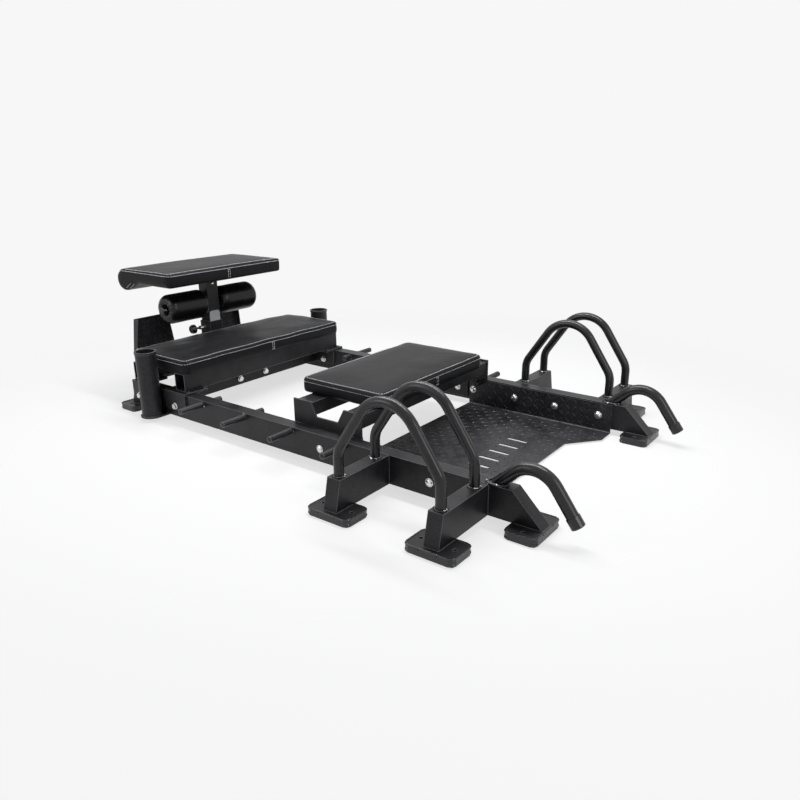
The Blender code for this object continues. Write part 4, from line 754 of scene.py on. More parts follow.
# %% Saddle screws
BUTTON = [(0.0, 0.0), (0.0072, 0.0), (0.0070, 0.0024), (0.0056, 0.0040), (0.0030, 0.0046), (0.0, 0.0046)]
SADDLE_TOP = RAIL_TOP + 0.0083
SADDLE_SCREW_X, SADDLE_SCREW_YS = REAR_X - 1.005, (0.372, 0.451)
bm = bmesh.new()
for sign in SIDES.values():
    for y in SADDLE_SCREW_YS:
        lathe(bm, BUTTON, frame_at((SADDLE_SCREW_X, sign * y, SADDLE_TOP), (0, 0, 1)), 24)
place_piece("saddle_screw_heads", bm, black_oxide, "frame", 35.0)
print("button heads:", len(SIDES) * len(SADDLE_SCREW_YS))

# %% [markdown]
# Tread plate is rolled with raised lens-shaped marks that stand in turn at right angles to each other.
# A bump alone would have no edge to catch the light, so each mark is a small mesh: a lens outline in
# three rings, each one smaller and higher.

# %% Tread mark
MARK_L, MARK_W, MARK_PITCH = 0.024, 0.0062, 0.0275
LENS = [(-1.0, 0.0), (-0.55, -0.72), (0.0, -1.0), (0.55, -0.72), (1.0, 0.0), (0.55, 0.72), (0.0, 1.0),
        (-0.55, 0.72)]
MARK_RINGS = ((1.0, -0.0003), (0.92, 0.0006), (0.62, 0.0015))


def tread_mark(bm, origin, u, v, out, angle):
    along = (u * cos(angle) + v * sin(angle)) * MARK_L / 2
    across = (v * cos(angle) - u * sin(angle)) * MARK_W / 2
    rings = [[bm.verts.new(origin + along * (a * scale) + across * (b * scale) + out * height)
              for a, b in LENS] for scale, height in MARK_RINGS]
    skin(bm, rings)
    bm.faces.new(rings[-1])


def tread_field(bm, origin, u, v, out, size, keep):
    """Marks over a rectangle. keep says whether a mark may stand at (a, b) along u and v."""
    origin, u, v, out = Vector(origin), Vector(u), Vector(v), Vector(out)
    count = 0
    for i in range(int(size[0] / MARK_PITCH)):
        for j in range(int(size[1] / MARK_PITCH)):
            a, b = (i + 0.5) * MARK_PITCH, (j + 0.5) * MARK_PITCH
            if keep(a, b):
                tread_mark(bm, origin + u * a + v * b, u, v, out, radians(45 if (i + j) % 2 else -45))
                count += 1
    return count


print("a mark every %.1f mm" % (MARK_PITCH * 1000))

# %% [markdown]
# The tray has marks on its floor and on the inner side of its two lips. They keep clear of the notch at
# the front, the slots, the bolts, the pegs and every edge, where the real plate is cut or covered.

# %% Marks on the tray
NOTCH_X, NOTCH_Y, MOUTH_Y = REAR_X + 0.320, 0.216, 0.331
SLOT_X, SLOT_HALF_L, SLOT_HALF_W, SLOT_PITCH, SLOTS = REAR_X + 0.162, 0.0425, 0.009, 0.070, 5
EDGE_CLEAR, LIP_EDGE_CLEAR, BOLT_CLEAR, LIP_H = 0.012, 0.014, 0.026, 0.110
tray_low, tray_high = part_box("tread_plate_tray")
tray_front = tray_high.x


def on_floor(a, b):
    x, y = tray_low.x + a, abs(-LIP_FACE + b)
    if x > NOTCH_X - EDGE_CLEAR:
        mouth = NOTCH_Y + max(0.0, x - NOTCH_X) * (MOUTH_Y - NOTCH_Y) / (tray_front - NOTCH_X)
        if y < mouth + EDGE_CLEAR:
            return False
    if abs(x - SLOT_X) < SLOT_HALF_L + EDGE_CLEAR:
        near = min(abs(y - k * SLOT_PITCH) for k in range(SLOTS // 2 + 1))
        if near < SLOT_HALF_W + EDGE_CLEAR:
            return False
    return x < tray_front - EDGE_CLEAR and y < LIP_FACE - EDGE_CLEAR


def on_lip(a, b):
    x, z = tray_low.x + a, TRAY_FLOOR + b
    covered = [(bolt, BOLT_Z) for bolt in TRAY_BOLT_X] + [(PEG_XS[-1], PEG_Z)]
    clear = all(hypot(x - cx, z - cz) > BOLT_CLEAR for cx, cz in covered)
    return clear and x < tray_front - LIP_EDGE_CLEAR and z < RAIL_TOP - LIP_EDGE_CLEAR


bm = bmesh.new()
tray_l = tray_front - tray_low.x
count = tread_field(bm, (tray_low.x, -LIP_FACE, TRAY_FLOOR), (1, 0, 0), (0, 1, 0), (0, 0, 1),
                    (tray_l, 2 * LIP_FACE), on_floor)
for sign in SIDES.values():
    count += tread_field(bm, (tray_low.x, sign * LIP_FACE, TRAY_FLOOR), (1, 0, 0), (0, 0, 1), (0, -sign, 0),
                         (tray_l, LIP_H), on_lip)
place_piece("tray_tread_marks", bm, mark_coat, "frame", 25.0)
print("marks on the tray:", count)

# %% [markdown]
# The tray's lips are folded up from its floor, so the inside corner is round and catches a soft line of
# light. A quarter round strip fills the solid's sharp corner.

# %% Fold of the tray
FOLD_R, FOLD_STEPS, FOLD_SUNK = 0.006, 8, 0.0005
bm = bmesh.new()
for sign in SIDES.values():
    bend = arc((LIP_FACE - FOLD_R, TRAY_FLOOR + FOLD_R), FOLD_R, -90, 0, FOLD_STEPS)
    rows = [[bm.verts.new((x, sign * y, z)) for y, z in bend]
            for x in (tray_low.x + 0.001, tray_front - 0.001)]
    for k in range(FOLD_STEPS):
        bm.faces.new((rows[0][k], rows[0][k + 1], rows[1][k + 1], rows[1][k]))
    for row in rows:
        corner = bm.verts.new((row[0].co.x, sign * (LIP_FACE + FOLD_SUNK), TRAY_FLOOR - FOLD_SUNK))
        bm.faces.new([corner] + row)
place_piece("tray_fold_fillets", bm, mark_coat, "frame", 40.0)
print("fold radius %.0f mm" % (FOLD_R * 1000))

# %% [markdown]
# The two toe plates behind the rollers are cut from the same plate. They narrow above a knee, so the
# marks stay between two slanted lines there.

# %% Marks on the toe plates
TOE_START, TOE_W = 0.094, 0.215
TOE_KNEE = RAIL_TOP + 0.050
TOE_INNER, TOE_OUTER_LOW, TOE_OUTER_HIGH = 0.086, 0.299, 0.311
TOE_INNER_SLANT, TOE_OUTER_SLANT = 0.023, 0.021
toe_low, toe_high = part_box("toe_plate_left")


def on_toe(a, b):
    y, z = TOE_START + a, toe_low.z + b
    above = max(0.0, (z - TOE_KNEE) / (toe_high.z - TOE_KNEE))
    inner = TOE_INNER + TOE_INNER_SLANT * above
    outer = (TOE_OUTER_LOW if z < TOE_KNEE else TOE_OUTER_HIGH) - TOE_OUTER_SLANT * above
    return (inner + EDGE_CLEAR < y < outer - LIP_EDGE_CLEAR
            and toe_low.z + EDGE_CLEAR < z < toe_high.z - LIP_EDGE_CLEAR)


bm = bmesh.new()
count = 0
for sign in SIDES.values():
    count += tread_field(bm, (toe_low.x + TRAY_SHEET, sign * TOE_START, toe_low.z), (0, sign, 0), (0, 0, 1),
                         (1, 0, 0), (TOE_W, toe_high.z - toe_low.z), on_toe)
place_piece("toe_plate_tread_marks", bm, mark_coat, "frame", 25.0)
print("marks on the toe plates:", count)

# %% [markdown]
# A pad is cut-and-sewn vinyl over a foam block on a board. The cover is built in rings, each ring a
# step up the side or in across the top, so that the seam and its stitches can follow a ring. A plain
# box with a bevel would be quicker, but has no seam to sew along and no panel to fill.

# %% Pad cover in rings
PAD_CORNER_R, LEAST_CORNER_R = 0.030, 0.006
CORNER_STEPS = 5
CELL = 0.010
# Rings on the top panel: how far in they start and end, and how their steps grow towards the middle.
PANEL_INSET, LEAST_STEP, STEP_SHARE = 0.020, 0.006, 0.30


def rounded_ring(low, high, inset, radius, per_side, per_corner):
    """Points round a rectangle with round corners, always the same number of them."""
    r = max(radius - inset, LEAST_CORNER_R)
    x0, x1, y0, y1 = low.x + inset + r, high.x - inset - r, low.y + inset + r, high.y - inset - r
    bends = [arc(centre, r, start, start + 90, per_corner)
             for centre, start in (((x1, y0), -90), ((x1, y1), 0), ((x0, y1), 90), ((x0, y0), 180))]
    points = []
    for index, bend in enumerate(bends):
        (x, y), (next_x, next_y) = bend[-1], bends[(index + 1) % 4][0]
        steps = per_side[index % 2]
        points += bend
        points += [(x + (next_x - x) * k / steps, y + (next_y - y) * k / steps) for k in range(1, steps)]
    return points


def pad_rings(low, high, edge_h):
    """(inset, height) for each ring of a pad's cover, from the recess for its board to its middle, and
    which rings are the seam and the two rows of stitches beside it."""
    top = low.z + edge_h
    rings = [(0.0133, low.z + 0.0124), (0.0133, low.z + 0.0006), (0.0120, low.z), (0.0085, low.z),
             (0.0052, low.z + 0.0008), (0.0030, low.z + 0.0030), (0.0012, low.z + 0.0070)]
    rise = edge_h - 0.0070 - 0.0160
    rings += [(0.0012 - 0.0012 * sin(pi * f), low.z + 0.0070 + rise * f) for f in (0.2, 0.4, 0.6, 0.8, 1.0)]
    low_row = len(rings)
    rings += [(0.0018, top - 0.0118), (0.0008, top - 0.0088), (0.0018, top - 0.0058)]
    seam = len(rings)
    rings += [(0.0046, top - 0.0040), (0.0052, top - 0.0016), (0.0082, top + 0.0006)]
    high_row = len(rings)
    rings += [(0.0116, top - 0.0002), (0.0150, top + 0.0014)]
    half = min(high.x - low.x, high.y - low.y) / 2
    rise = high.z - top
    inset = PANEL_INSET
    while inset < half - PANEL_INSET:
        rings.append((inset, top + 0.0014 + (rise - 0.0014) * (1 - (1 - inset / half) ** 4)))
        inset += max(LEAST_STEP, inset * STEP_SHARE)
    return rings, (seam, low_row, high_row)


def build_cover(node, edge_h):
    """A pad's cover, the vertex numbers of each ring, and the seam's and stitches' rings."""
    low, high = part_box(node)
    per_side = (int((high.y - low.y) / CELL), int((high.x - low.x) / CELL))
    bm = bmesh.new()
    levels, rows = pad_rings(low, high, edge_h)
    rings = []
    for inset, z in levels:
        outline = rounded_ring(low, high, inset, PAD_CORNER_R, per_side, CORNER_STEPS)
        rings.append([bm.verts.new((x, y, z)) for x, y in outline])
    skin(bm, rings)
    bm.faces.new(rings[0])
    bmesh.ops.poke(bm, faces=[bm.faces.new(rings[-1])])
    bm.verts.index_update()
    return bm, [[v.index for v in ring] for ring in rings], rows


print("rings in a pad:", len(pad_rings(*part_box("front_pad"), 0.052)[0]))

# %% [markdown]
# Cloth simulation fills each cover: air pressure from inside, with the seam and the underside pinned.
# It is short, because firm foam hardly moves. How far each point moved is evened out with its
# neighbours, as the foam under the cover does, and capped, so the pad stays the size of the solid one.

# %% Filling a cover
FRAMES, SMOOTHINGS, MOST_MOVE = 14, 12, 0.0035
# Vinyl hardly stretches, so the cloth is stiff, and the air in it pushes lightly.
COVER_CLOTH = {"quality": 6, "mass": 0.4, "tension_stiffness": 60, "compression_stiffness": 60,
               "shear_stiffness": 30, "bending_stiffness": 6, "use_pressure": True,
               "uniform_pressure_force": 2.2, "vertex_group_mass": "held"}


def simulated(obj, held):
    """Where the cloth takes each vertex, with the held ones pinned."""
    scene = bpy.context.scene
    obj.vertex_groups.new(name="held").add(sorted(held), 1.0, "REPLACE")
    cloth = obj.modifiers.new("cover", "CLOTH")
    for key, value in COVER_CLOTH.items():
        setattr(cloth.settings, key, value)
    cloth.settings.effector_weights.gravity = 0.0
    cloth.collision_settings.use_collision = False
    cloth.collision_settings.use_self_collision = False
    cloth.point_cache.frame_start, cloth.point_cache.frame_end = 1, FRAMES
    for number in range(1, FRAMES + 1):
        scene.frame_set(number)
    evaluated = obj.evaluated_get(bpy.context.evaluated_depsgraph_get())
    after = [v.co.copy() for v in evaluated.data.vertices]
    obj.modifiers.remove(cloth)
    scene.frame_set(1)
    return after


def fill_cover(obj, held):
    """Move each vertex as the cloth does, evened out and capped. Gives the largest move of the cloth."""
    before = [v.co.copy() for v in obj.data.vertices]
    moves = [b - a for a, b in zip(before, simulated(obj, held))]
    largest = max(move.length for move in moves)
    near = [[] for _ in moves]
    for edge in obj.data.edges:
        i, j = edge.vertices
        near[i].append(j)
        near[j].append(i)
    for _ in range(SMOOTHINGS):
        moves = [move if i in held
                 else (move + sum((moves[j] for j in near[i]), Vector())) / (1 + len(near[i]))
                 for i, move in enumerate(moves)]
    for vertex, start, move in zip(obj.data.vertices, before, moves):
        vertex.co = start + (move.normalized() * MOST_MOVE if move.length > MOST_MOVE else move)
    return largest


print("cloth over", FRAMES, "frames, at most %.1f mm" % (MOST_MOVE * 1000))

# %% [markdown]
# A used pad isn't even. Noise pushes the free points in and out a little, as worn foam does, and a
# slower wave lifts and drops the seam together with the top, so that its stitches follow.

# %% Settling a cover
DIP, DIP_MM, WAVE_MM = 0.0007, 55.0, 120.0


def settle(obj, held, low, high, wave):
    """Uneven dips, and a wave that grows from none at one height to its full size at another."""
    obj.data.update()
    normals = [v.normal.copy() for v in obj.data.vertices]
    for vertex, normal in zip(obj.data.vertices, normals):
        if vertex.index not in held:
            vertex.co += normal * DIP * noise.noise(vertex.co * every(DIP_MM))
        share = max(0.0, min(1.0, (vertex.co.z - low) / (high - low)))
        vertex.co.z += wave * share * noise.noise(Vector((vertex.co.x, vertex.co.y, 0.3)) * every(WAVE_MM))
    obj.data.update()


def finish_cover(pad, node, held, low, high, wave):
    """Fill and settle a cover, and let it stand for its solid pad."""
    moved = fill_cover(pad, held)
    settle(pad, held, low, high, wave)
    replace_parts(pad, node)
    print("%s: cloth moved up to %.1f mm" % (pad.name, moved * 1000))


print("dips of %.1f mm, every %.0f mm" % (DIP * 1000, DIP_MM))

# %% [markdown]
# Stitches are single lengths of thread that dive into the cover at both ends. They are laid along rows
# of points on the finished cover, standing on its own surface normal, so they come after the cloth.
# Real thread is about 0.9 mm thick. Here it is 2.2 mm, so that a row shows as the photograph's pale line.

# %% Stitches
STITCH, STITCH_GAP, THREAD_R = 0.0078, 0.0022, 0.0011
# The upright double stitch, and how far outside the cover the rays start that find a row on it.
UPRIGHT_GAP, UPRIGHT_POINTS, RAY = 0.0100, 12, 0.05
# Along the stitch, and in thread radii: how high its middle stands, and how thick it is.
STITCH_RINGS = ((0.0, -0.3, 0.6), (0.22, 0.6, 1.0), (0.78, 0.6, 1.0), (1.0, -0.3, 0.6))


def lay_stitches(bm, points, normals, closed=False):
    """Stitches along points with their surface normals."""
    if closed:
        points, normals = points + points[:1], normals + normals[:1]
    lengths = [(b - a).length for a, b in zip(points, points[1:])]
    total = sum(lengths)

    def at(distance):
        distance = max(0.0, min(total - 1e-6, distance))
        i = 0
        while distance > lengths[i]:
            distance -= lengths[i]
            i += 1
        share = distance / lengths[i]
        along = (points[i + 1] - points[i]).normalized()
        normal = normals[i].lerp(normals[i + 1], share).normalized()
        return points[i].lerp(points[i + 1], share), along, normal

    number = int(total / (STITCH + STITCH_GAP))
    for k in range(number):
        rings = []
        for share, lift, size in STITCH_RINGS:
            point, along, normal = at(k * total / number + share * STITCH)
            side = along.cross(normal).normalized()
            point = point + normal * THREAD_R * lift
            rings.append([bm.verts.new(point + (side * c + normal * s) * THREAD_R * size)
                          for c, s in around(6)])
        skin(bm, rings, ends=True)


def dropped(obj, rays):
    """Where rays (origin, direction) meet a piece: the points, and the surface normals there."""
    hits = [obj.ray_cast(Vector(origin), Vector(direction)) for origin, direction in rays]
    return [hit[1] for hit in hits if hit[0]], [hit[2] for hit in hits if hit[0]]


def upright_stitches(bm, pad, face_x, y, start_z, length):
    """The double stitch on a pad's front face, where the ends of the side band meet."""
    for row_y in (y - UPRIGHT_GAP / 2, y + UPRIGHT_GAP / 2):
        rays = [((face_x + RAY, row_y, start_z + length * k / (UPRIGHT_POINTS - 1)), (-1.0, 0.0, 0.0))
                for k in range(UPRIGHT_POINTS)]
        lay_stitches(bm, *dropped(pad, rays))


print("stitch %.1f mm, thread %.1f mm" % (STITCH * 1000, THREAD_R * 2000))

# %% [markdown]
# The kneeling pad and the front pad are the same make: a top panel sewn to a side band, a double
# stitch round the seam, and one upright double stitch where the ends of the band meet. So one function
# makes both. The kneeling pad is the softer one, and its seam waves more.

# %% Kneeling pad and front pad
def stitched_pad(node, edge_h, join_y, wave):
    low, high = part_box(node)
    bm, rings, rows = build_cover(node, edge_h)
    pad = place_piece("sewn_" + node, bm, pad_vinyl, "frame", 180.0)
    held = set(sum(rings[:4], []) + sum((rings[row] for row in rows), []))
    finish_cover(pad, node, held, low.z + 0.010, low.z + edge_h, wave)
    bm = bmesh.new()
    verts = pad.data.vertices
    for row in rows[1:]:
        points = [verts[i].co.copy() for i in rings[row]]
        normals = [verts[i].normal.copy() for i in rings[row]]
        lay_stitches(bm, points, normals, closed=True)
    upright_stitches(bm, pad, high.x, join_y, low.z + 0.006, edge_h - 0.014)
    place_piece("sewn_" + node + "_stitches", bm, thread, "frame", 60.0)


stitched_pad("kneeling_pad", 0.054, 0.020, 0.0050)
stitched_pad("front_pad", 0.052, 0.0, 0.0016)
print("two pads stitched")

# %% [markdown]
# The top pad has a thick roll along its rear edge. Its cover is a tube of vinyl with a flat panel sewn
# into each end, so it is built as cross-sections along its width, which shrink a little at the ends
# where the panel is sewn in. This cell draws one cross-section, as the side view shows it.

# %% Top pad cross-section
top_low, top_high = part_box("top_pad")
EDGE_H, ROLL_R, CROWN, BULGE = 0.060, 0.048, 0.0036, 0.0012
LOW_EDGE_R, HIGH_EDGE_R, SEAM_DIP = 0.013, 0.010, 0.0011
ROLL_STEPS, NECK_STEPS, SPACING = 26, 6, 0.009
TOP_HALF, FRONT = top_high.y, top_high.x
SLAB_TOP = top_high.z - CROWN
SLAB_LOW = SLAB_TOP - EDGE_H
ROLL_MIDDLE = (top_low.x + ROLL_R, SLAB_TOP - ROLL_R)
NECK_X = ROLL_MIDDLE[0] + 2.2 * ROLL_R


def top_section():
    """(x, z) from the neck of the roll forward, up the front edge and back over the top, evenly spaced."""
    path = [(NECK_X, SLAB_LOW), (FRONT - LOW_EDGE_R - 0.002, SLAB_LOW)]
    path += arc((FRONT - LOW_EDGE_R, SLAB_LOW + LOW_EDGE_R), LOW_EDGE_R, -90, 0, 5)[1:]
    rise = EDGE_H - LOW_EDGE_R - HIGH_EDGE_R
    path += [(FRONT + BULGE * sin(pi * f), SLAB_LOW + LOW_EDGE_R + rise * f) for f in (0.25, 0.5, 0.75)]
    edge = arc((FRONT - HIGH_EDGE_R, SLAB_TOP - HIGH_EDGE_R), HIGH_EDGE_R, 0, 90, 6)
    edge[3] = (edge[3][0] - SEAM_DIP, edge[3][1] - SEAM_DIP)
    path += edge + [(ROLL_MIDDLE[0], SLAB_TOP)] + arc(ROLL_MIDDLE, ROLL_R, 90, 300, ROLL_STEPS)[1:]
    last = path[-1]
    for k in range(1, NECK_STEPS):
        share = k / NECK_STEPS
        ease = 0.35 * share + 0.65 * share * share * (3 - 2 * share)
        path.append((last[0] + (NECK_X - last[0]) * share, last[1] + (SLAB_LOW - last[1]) * ease))
    dense = []
    for a, b in zip(path, path[1:] + path[:1]):
        a, b = Vector(a), Vector(b)
        pieces = max(1, round((b - a).length / SPACING))
        dense += [a.lerp(b, k / pieces) for k in range(pieces)]
    return dense


def outwards(section):
    """The direction out of the cross-section at each of its points."""
    alongs = [(section[(i + 1) % len(section)] - section[i - 1]).normalized() for i in range(len(section))]
    return [Vector((along.y, -along.x)) for along in alongs]


section = top_section()
section_out = outwards(section)
print("top pad section points:", len(section))

# %% [markdown]
# The cross-sections are set side by side across the pad. Near each end they draw in, first round the
# edge and over the seam, then into the end panel, and the front corners are rounded in plan. The cover
# is then filled and settled like the others.

# %% Top pad
CORNER_R, CORNER_BLEND = 0.018, 0.060
# How far beyond the pad's half width each cross-section near an end stands, and how far it draws in.
END_ROWS = [(0.0010, 0.0260), (0.0004, 0.0190), (-0.0008, 0.0145), (-0.0020, 0.0112), (-0.0030, 0.0082),
            (-0.0066, 0.0054), (-0.0090, 0.0026), (-0.0122, 0.0010), (-0.0150, 0.0010), (-0.0180, 0.0002),
            (-0.0220, 0.0)]
PINNED_ROWS = (0, 3, 5, 8)
# The rows between start this far in from one end, are this far apart and stop this far from the other.
ROWS_FROM, ROW_STEP, ROWS_TO = 0.029, 0.0115, 0.028
JOIN_WITHIN = 0.0003


def corner_pull(x, y):
    """How far the front of the pad draws back near its ends, which rounds its corners in plan."""
    over = min(abs(y) - (TOP_HALF - CORNER_R), CORNER_R)
    if over <= 0 or x < FRONT - CORNER_BLEND:
        return 0.0
    return (CORNER_R - sqrt(CORNER_R ** 2 - over ** 2)) * min(1.0, (x - FRONT + CORNER_BLEND) / CORNER_BLEND)


def drawn_in(point, out, y, inset):
    """A point of the cross-section at y, drawn in by an inset that may be larger than the edge's radius."""
    x = min(point.x - out.x * inset, FRONT + BULGE - inset)
    z = min(point.y - out.y * inset, SLAB_TOP - inset)
    if x > NECK_X:
        z = max(z, SLAB_LOW + inset)
    share = (x - ROLL_MIDDLE[0]) / (FRONT - ROLL_MIDDLE[0])
    if z > SLAB_TOP - 0.004 and 0.0 < share < 1.0:
        z += CROWN * (1 - (2 * share - 1) ** 4) * (1 - (y / TOP_HALF) ** 4)
    return x - corner_pull(x, y), y, z


def build_top_cover():
    ends = [(TOP_HALF + beyond, inset) for beyond, inset in END_ROWS]
    rows = list(ends)
    y = TOP_HALF - ROWS_FROM
    while y > -(TOP_HALF - ROWS_TO):
        rows.append((y, 0.0))
        y -= ROW_STEP
    rows += [(-y, inset) for y, inset in reversed(ends)]
    bm = bmesh.new()
    rings = [[bm.verts.new(drawn_in(point, out, y, inset)) for point, out in zip(section, section_out)]
             for y, inset in rows]
    skin(bm, rings)
    bmesh.ops.triangulate(bm, faces=[bm.faces.new(rings[0]), bm.faces.new(rings[-1])])
    # Points that fell together in the corners are joined, since cloth needs edges of some length.
    joined = bmesh.ops.find_doubles(bm, verts=bm.verts, dist=JOIN_WITHIN)["targetmap"]
    rings = [[joined.get(v, v) for v in ring] for ring in rings]
    bmesh.ops.weld_verts(bm, targetmap=joined)
    bm.verts.index_update()
    return bm, [[v.index for v in ring] for ring in rings]


bm, rings = build_top_cover()
top_pad = place_piece("sewn_top_pad", bm, pad_vinyl, "post_unit", 180.0)
held = {i for row in PINNED_ROWS for i in rings[row] + rings[-1 - row]}
held |= {v.index for v in top_pad.data.vertices
         if v.co.z < SLAB_LOW + 0.002 and v.co.x > ROLL_MIDDLE[0] + 1.4 * ROLL_R}
finish_cover(top_pad, "top_pad", held, SLAB_LOW + 0.010, SLAB_TOP, 0.0012)
print("top pad rows:", len(rings), "held points:", len(held))

# %% [markdown]
# The seam sits on the edge of each end, with a row of stitches on either side of it. Both rows run over
# the roll, along the end, round the corners and along the front. The cover has changed shape by now, so
# each row is found by dropping rays on it: from above for one row and from outside for the other.

# %% Rows of rays round the top pad
SIDE_ROW, TOP_ROW = 0.0092, 0.0116
END_RAYS, FRONT_RAYS, LEAST_TURN_R = 40, 60, 0.004


def edge_walk(inset):
    """(point, outward) in plan round one end, along the front and round the other end, drawn in."""
    r = max(CORNER_R - inset, LEAST_TURN_R)
    cx, cy = FRONT - inset - r, TOP_HALF - inset - r
    turned = [(cos(radians(a)), sin(radians(a))) for a in range(-90, 1, 15)]
    back = ROLL_MIDDLE[0]
    end = [((back + (cx - back) * k / END_RAYS, -(TOP_HALF - inset)), (0.0, -1.0)) for k in range(END_RAYS)]
    end += [((cx + r * c, -cy + r * s), (c, s)) for c, s in turned]
    front = [((FRONT - inset, -cy + 2 * cy * k / FRONT_RAYS), (1.0, 0.0)) for k in range(1, FRONT_RAYS)]
    return end + front + [((x, -y), (c, -s)) for (x, y), (c, s) in reversed(end)]


def roll_walk():
    """(x, z) over the roll from behind to its top, and the direction out of the roll at each."""
    outs = [Vector((cos(radians(a)), 0.0, sin(radians(a)))) for a in range(160, 90, -5)]
    centre = Vector((ROLL_MIDDLE[0], 0.0, ROLL_MIDDLE[1]))
    return [(centre + out * ROLL_R, out) for out in outs]


def both_ways(rays, middle_rays):
    """Rays over the roll at one end, the ones between, and the first ones again at the other end."""
    flip = Vector((1.0, -1.0, 1.0))
    other = [(Vector(origin) * flip, Vector(direction) * flip) for origin, direction in reversed(rays)]
    return rays + middle_rays + other


over_roll = [(point + Vector((0.0, TOP_ROW - TOP_HALF, 0.0)) + out * RAY, -out) for point, out in roll_walk()]
beside_roll = [(point - out * SIDE_ROW - Vector((0.0, TOP_HALF + RAY, 0.0)), (0.0, 1.0, 0.0))
               for point, out in roll_walk()]
from_above = [((x, y, SLAB_TOP + RAY), (0.0, 0.0, -1.0)) for (x, y), _ in edge_walk(TOP_ROW)]
from_outside = [((x + c * RAY, y + s * RAY, SLAB_TOP - SIDE_ROW), (-c, -s, 0.0))
                for (x, y), (c, s) in edge_walk(0.0)]
seam_rays = [both_ways(over_roll, from_above), both_ways(beside_roll, from_outside)]
print("rays:", [len(rays) for rays in seam_rays])

# %% [markdown]
# Two slanted rows close the roll low on each end, and the front has the same upright double stitch as
# the other pads.

# %% Top pad stitches
SLANT_START, SLANT_END, SLANT_GAP, SLANT_POINTS = (0.020, -0.034), (0.062, -0.009), 0.022, 10


def slanted_rays(sign, shift):
    start, end = Vector(SLANT_START), Vector(SLANT_END)
    spots = [Vector(ROLL_MIDDLE) + Vector((shift, 0.0)) + start.lerp(end, k / (SLANT_POINTS - 1))
             for k in range(SLANT_POINTS)]
    return [((spot.x, sign * (TOP_HALF + RAY), spot.y), (0.0, -sign, 0.0)) for spot in spots]


bm = bmesh.new()
for rays in seam_rays:
    lay_stitches(bm, *dropped(top_pad, rays))
upright_stitches(bm, top_pad, FRONT, 0.0, SLAB_LOW + 0.009, EDGE_H - 0.018)
for sign in SIDES.values():
    for shift in (0.0, SLANT_GAP):
        lay_stitches(bm, *dropped(top_pad, slanted_rays(sign, shift)))
place_piece("sewn_top_pad_stitches", bm, thread, "post_unit", 60.0)
print("top pad stitched")

# %% [markdown]
# Each rubber shoe is moulded with two round ridges along its outside, one at the floor and one at its
# rim. They catch the light as two bright lines with a dark groove between them, and their glossy rubber
# is also painted a little paler than the shoe, a painted highlight. A ridge is a bead with no ripple,
# run round the shoe's outline.

# %% Shoe ridges
SHOE_CORNER_R, SHOE_STEPS, NO_RIPPLE_MM = 0.015, 24, 1e6
bm = bmesh.new()
for node in [name for name in nodes if name.startswith("rubber_foot_")]:
    low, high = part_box(node)
    for z, size, inset in ((low.z + 0.0056, 0.0062, 0.0042), (high.z - 0.0030, 0.0036, 0.0022)):
        outline = rounded_ring(low, high, inset, SHOE_CORNER_R, (SHOE_STEPS, SHOE_STEPS), 6)
        bead(bm, [(x, y, z) for x, y in outline], size, ripple_mm=NO_RIPPLE_MM)
ridges = place_piece("shoe_ridges", bm, glossy_rubber_with_painted_highlight, "frame", 180.0)
print("shoe ridges:", len(ridges.data.polygons), "faces")

# %% [markdown]
# The rollers are foam tubes in a vinyl sleeve that is gathered over each end. They are turned on the
# lathe, and then the points of the ends are moved into small radial pleats, where a smooth end would
# look like hard plastic. The foam makes the sides a little uneven too.

# %% Foam rollers
ROLLER_R, EDGE_R, BORE_R, HUB_R, DISH_R, DISH = 0.065, 0.030, 0.0132, 0.026, 0.030, 0.009
AROUND, ALONG, EDGE_STEPS, PLEATS, PLEAT, UNEVEN = 150, 22, 8, 15, 0.0024, 0.0006
AXLE_Z = middle("foam_roller_left").z


def limited(value):
    return max(0.0, min(1.0, value))


def roller_profile(inner, outer):
    """(radius, height) from the inner end over the side to the outer end and into its dish."""
    body = outer - inner - 2 * EDGE_R
    core = ROLLER_R - EDGE_R
    return ([(BORE_R, inner), (HUB_R, inner)]
            + [(core + r, h) for r, h in arc((0.0, inner + EDGE_R), EDGE_R, -90, 0, EDGE_STEPS)]
            + [(ROLLER_R, inner + EDGE_R + body * k / ALONG) for k in range(1, ALONG)]
            + [(core + r, h) for r, h in arc((0.0, outer - EDGE_R), EDGE_R, 0, 90, EDGE_STEPS)]
            + [(DISH_R, outer - 0.0008), (DISH_R - 0.004, outer - 0.0030), (DISH_R - 0.008, outer - 0.0062),
               (DISH_R - 0.011, outer - DISH), (BORE_R, outer - DISH)])


def roller_cover(side, sign):
    low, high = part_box("foam_roller_" + side)
    inner, outer = sorted((abs(low.y), abs(high.y)))
    profile = roller_profile(inner, outer)
    axis = Vector((POST_X, 0.0, AXLE_Z))
    bm = bmesh.new()
    rings = lathe(bm, profile, frame_at(axis, (0, sign, 0)), AROUND)
    skin(bm, [rings[0], rings[-1]])
    for (radius, height), ring in zip(profile, rings):
        gathered = limited((radius - 0.015) / 0.006) * limited((ROLLER_R - 0.004 - radius) / 0.022)
        outwards_y = sign if height > (inner + outer) / 2 else -sign
        for k, vertex in enumerate(ring):
            fold = abs(sin(pi * k * PLEATS / AROUND + 1.5 * noise.noise(Vector((k * 0.21, sign, height)))))
            vertex.co.y += outwards_y * gathered * PLEAT * (fold - 0.6)
            if radius > ROLLER_R - 0.004:
                away = (vertex.co - axis) * Vector((1, 0, 1))
                vertex.co += away.normalized() * UNEVEN * noise.noise(vertex.co * 18.0)
    return bm


for side, sign in SIDES.items():
    roller = place_piece("covered_roller_" + side, roller_cover(side, sign), roller_vinyl, "roller_" + side,
                         50.0)
    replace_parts(roller, "foam_roller_" + side)
print("rollers at z %.3f" % AXLE_Z)

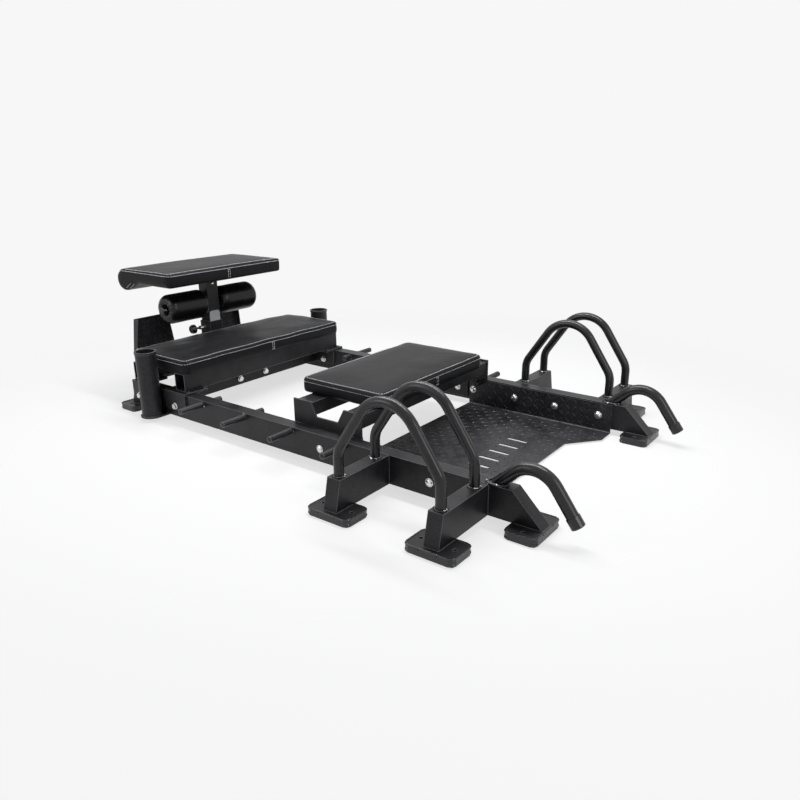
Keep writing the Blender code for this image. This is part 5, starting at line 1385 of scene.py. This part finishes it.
# %% [markdown]
# The studio is a pale room under soft light. A pale wall with more light on it would also light the
# machine. So the pale background is only what the camera, a reflection or a clear thing sees, which the
# Light Path node tells apart, and the dimmer sky is what lights the machine.

# %% Background
PALE = "#F7F7F7"


def seen(tree):
    """1 for a ray from the camera, from a reflection or through something clear, and 0 for light."""
    ray = add(tree, "ShaderNodeLightPath").outputs
    direct = add(tree, "ShaderNodeMath", {0: ray["Is Camera Ray"], 1: ray["Is Transmission Ray"]},
                 operation="MAXIMUM")
    return add(tree, "ShaderNodeMath", {0: direct, 1: ray["Is Glossy Ray"]}, operation="MAXIMUM")


world = bpy.data.worlds.new("studio")
bpy.context.scene.world = world
world.use_nodes = True
tree = world.node_tree
tree.nodes.clear()
sky = add(tree, "ShaderNodeBackground", {"Color": linear("#C9CBCE"), "Strength": 0.30})
backdrop = add(tree, "ShaderNodeBackground", {"Color": linear(PALE), "Strength": 1.0})
both = add(tree, "ShaderNodeMixShader", {0: seen(tree), 1: sky, 2: backdrop})
add(tree, "ShaderNodeOutputWorld", {"Surface": both})
print("background", PALE)

# %% [markdown]
# The floor is a plain pale sheet. To the eye it is mostly clear close to the machine, and it clears
# fully farther out, so it has no visible edge but keeps a soft shadow and a glow under the machine.

# %% Floor
CLEAR_FROM, CLEAR_TO, NEAR_CLEAR = 1.2, 2.4, 0.72
FLOOR_HALF, FLOOR_Z = 3.0, -0.0005
floor_finish = new_material("pale_studio_floor")
tree, shader, place = parts_of(floor_finish)
set_inputs(tree, shader, {"Base Color": linear("#F3F3F3"), "Roughness": 0.9, "Specular IOR Level": 0.0})
distance = add(tree, "ShaderNodeVectorMath", {0: place}, operation="LENGTH").outputs["Value"]
edge = add(tree, "ShaderNodeMapRange", {"Value": distance, "From Min": CLEAR_FROM, "From Max": CLEAR_TO,
                                        "To Min": NEAR_CLEAR, "To Max": 1.0}, interpolation_type="SMOOTHSTEP")
fade = add(tree, "ShaderNodeMath", {0: edge, 1: seen(tree)}, operation="MULTIPLY")
clear = add(tree, "ShaderNodeBsdfTransparent")
mixed = add(tree, "ShaderNodeMixShader", {0: fade, 1: shader, 2: clear})
set_inputs(tree, tree.nodes["Material Output"], {"Surface": mixed})
bm = bmesh.new()
bmesh.ops.create_grid(bm, x_segments=1, y_segments=1, size=FLOOR_HALF)
mesh = bpy.data.meshes.new("studio_floor")
bm.to_mesh(mesh)
bm.free()
mesh.materials.append(floor_finish)
floor = new_object("studio_floor", mesh)
floor.location.z = FLOOR_Z
print("floor", floor.dimensions.x, "m wide")

# %% [markdown]
# Black steel is read from its reflections, so the lamps are large. A wide softbox overhead lights the
# tops, a narrow strip above the middle draws the light line along the hoops and rails, and two weaker
# softboxes at the front left and the right keep the near faces from going flat.

# %% Lamps
def softbox(name, place, target, size, watts):
    lamp = bpy.data.lights.new(name, "AREA")
    lamp.shape = "RECTANGLE"
    lamp.size, lamp.size_y = size
    lamp.energy = watts
    look = Vector(target) - Vector(place)
    turn = look.to_track_quat("-Z", "Y").to_matrix().to_4x4()
    new_object(name, lamp).matrix_world = Matrix.Translation(place) @ turn


softbox("overhead_softbox", (-0.4, 0.6, 3.0), (0.0, 0.0, 0.1), (3.4, 2.4), 42.0)
softbox("overhead_strip", (0.0, 0.2, 2.4), (0.0, 0.0, 0.1), (3.0, 0.16), 60.0)
softbox("front_left_softbox", (-1.6, -3.2, 1.8), (-0.1, 0.0, 0.2), (1.6, 1.6), 30.0)
softbox("right_softbox", (3.6, -0.6, 1.9), (0.3, 0.0, 0.1), (1.4, 1.6), 28.0)
bpy.context.scene.view_settings.view_transform = "Standard"
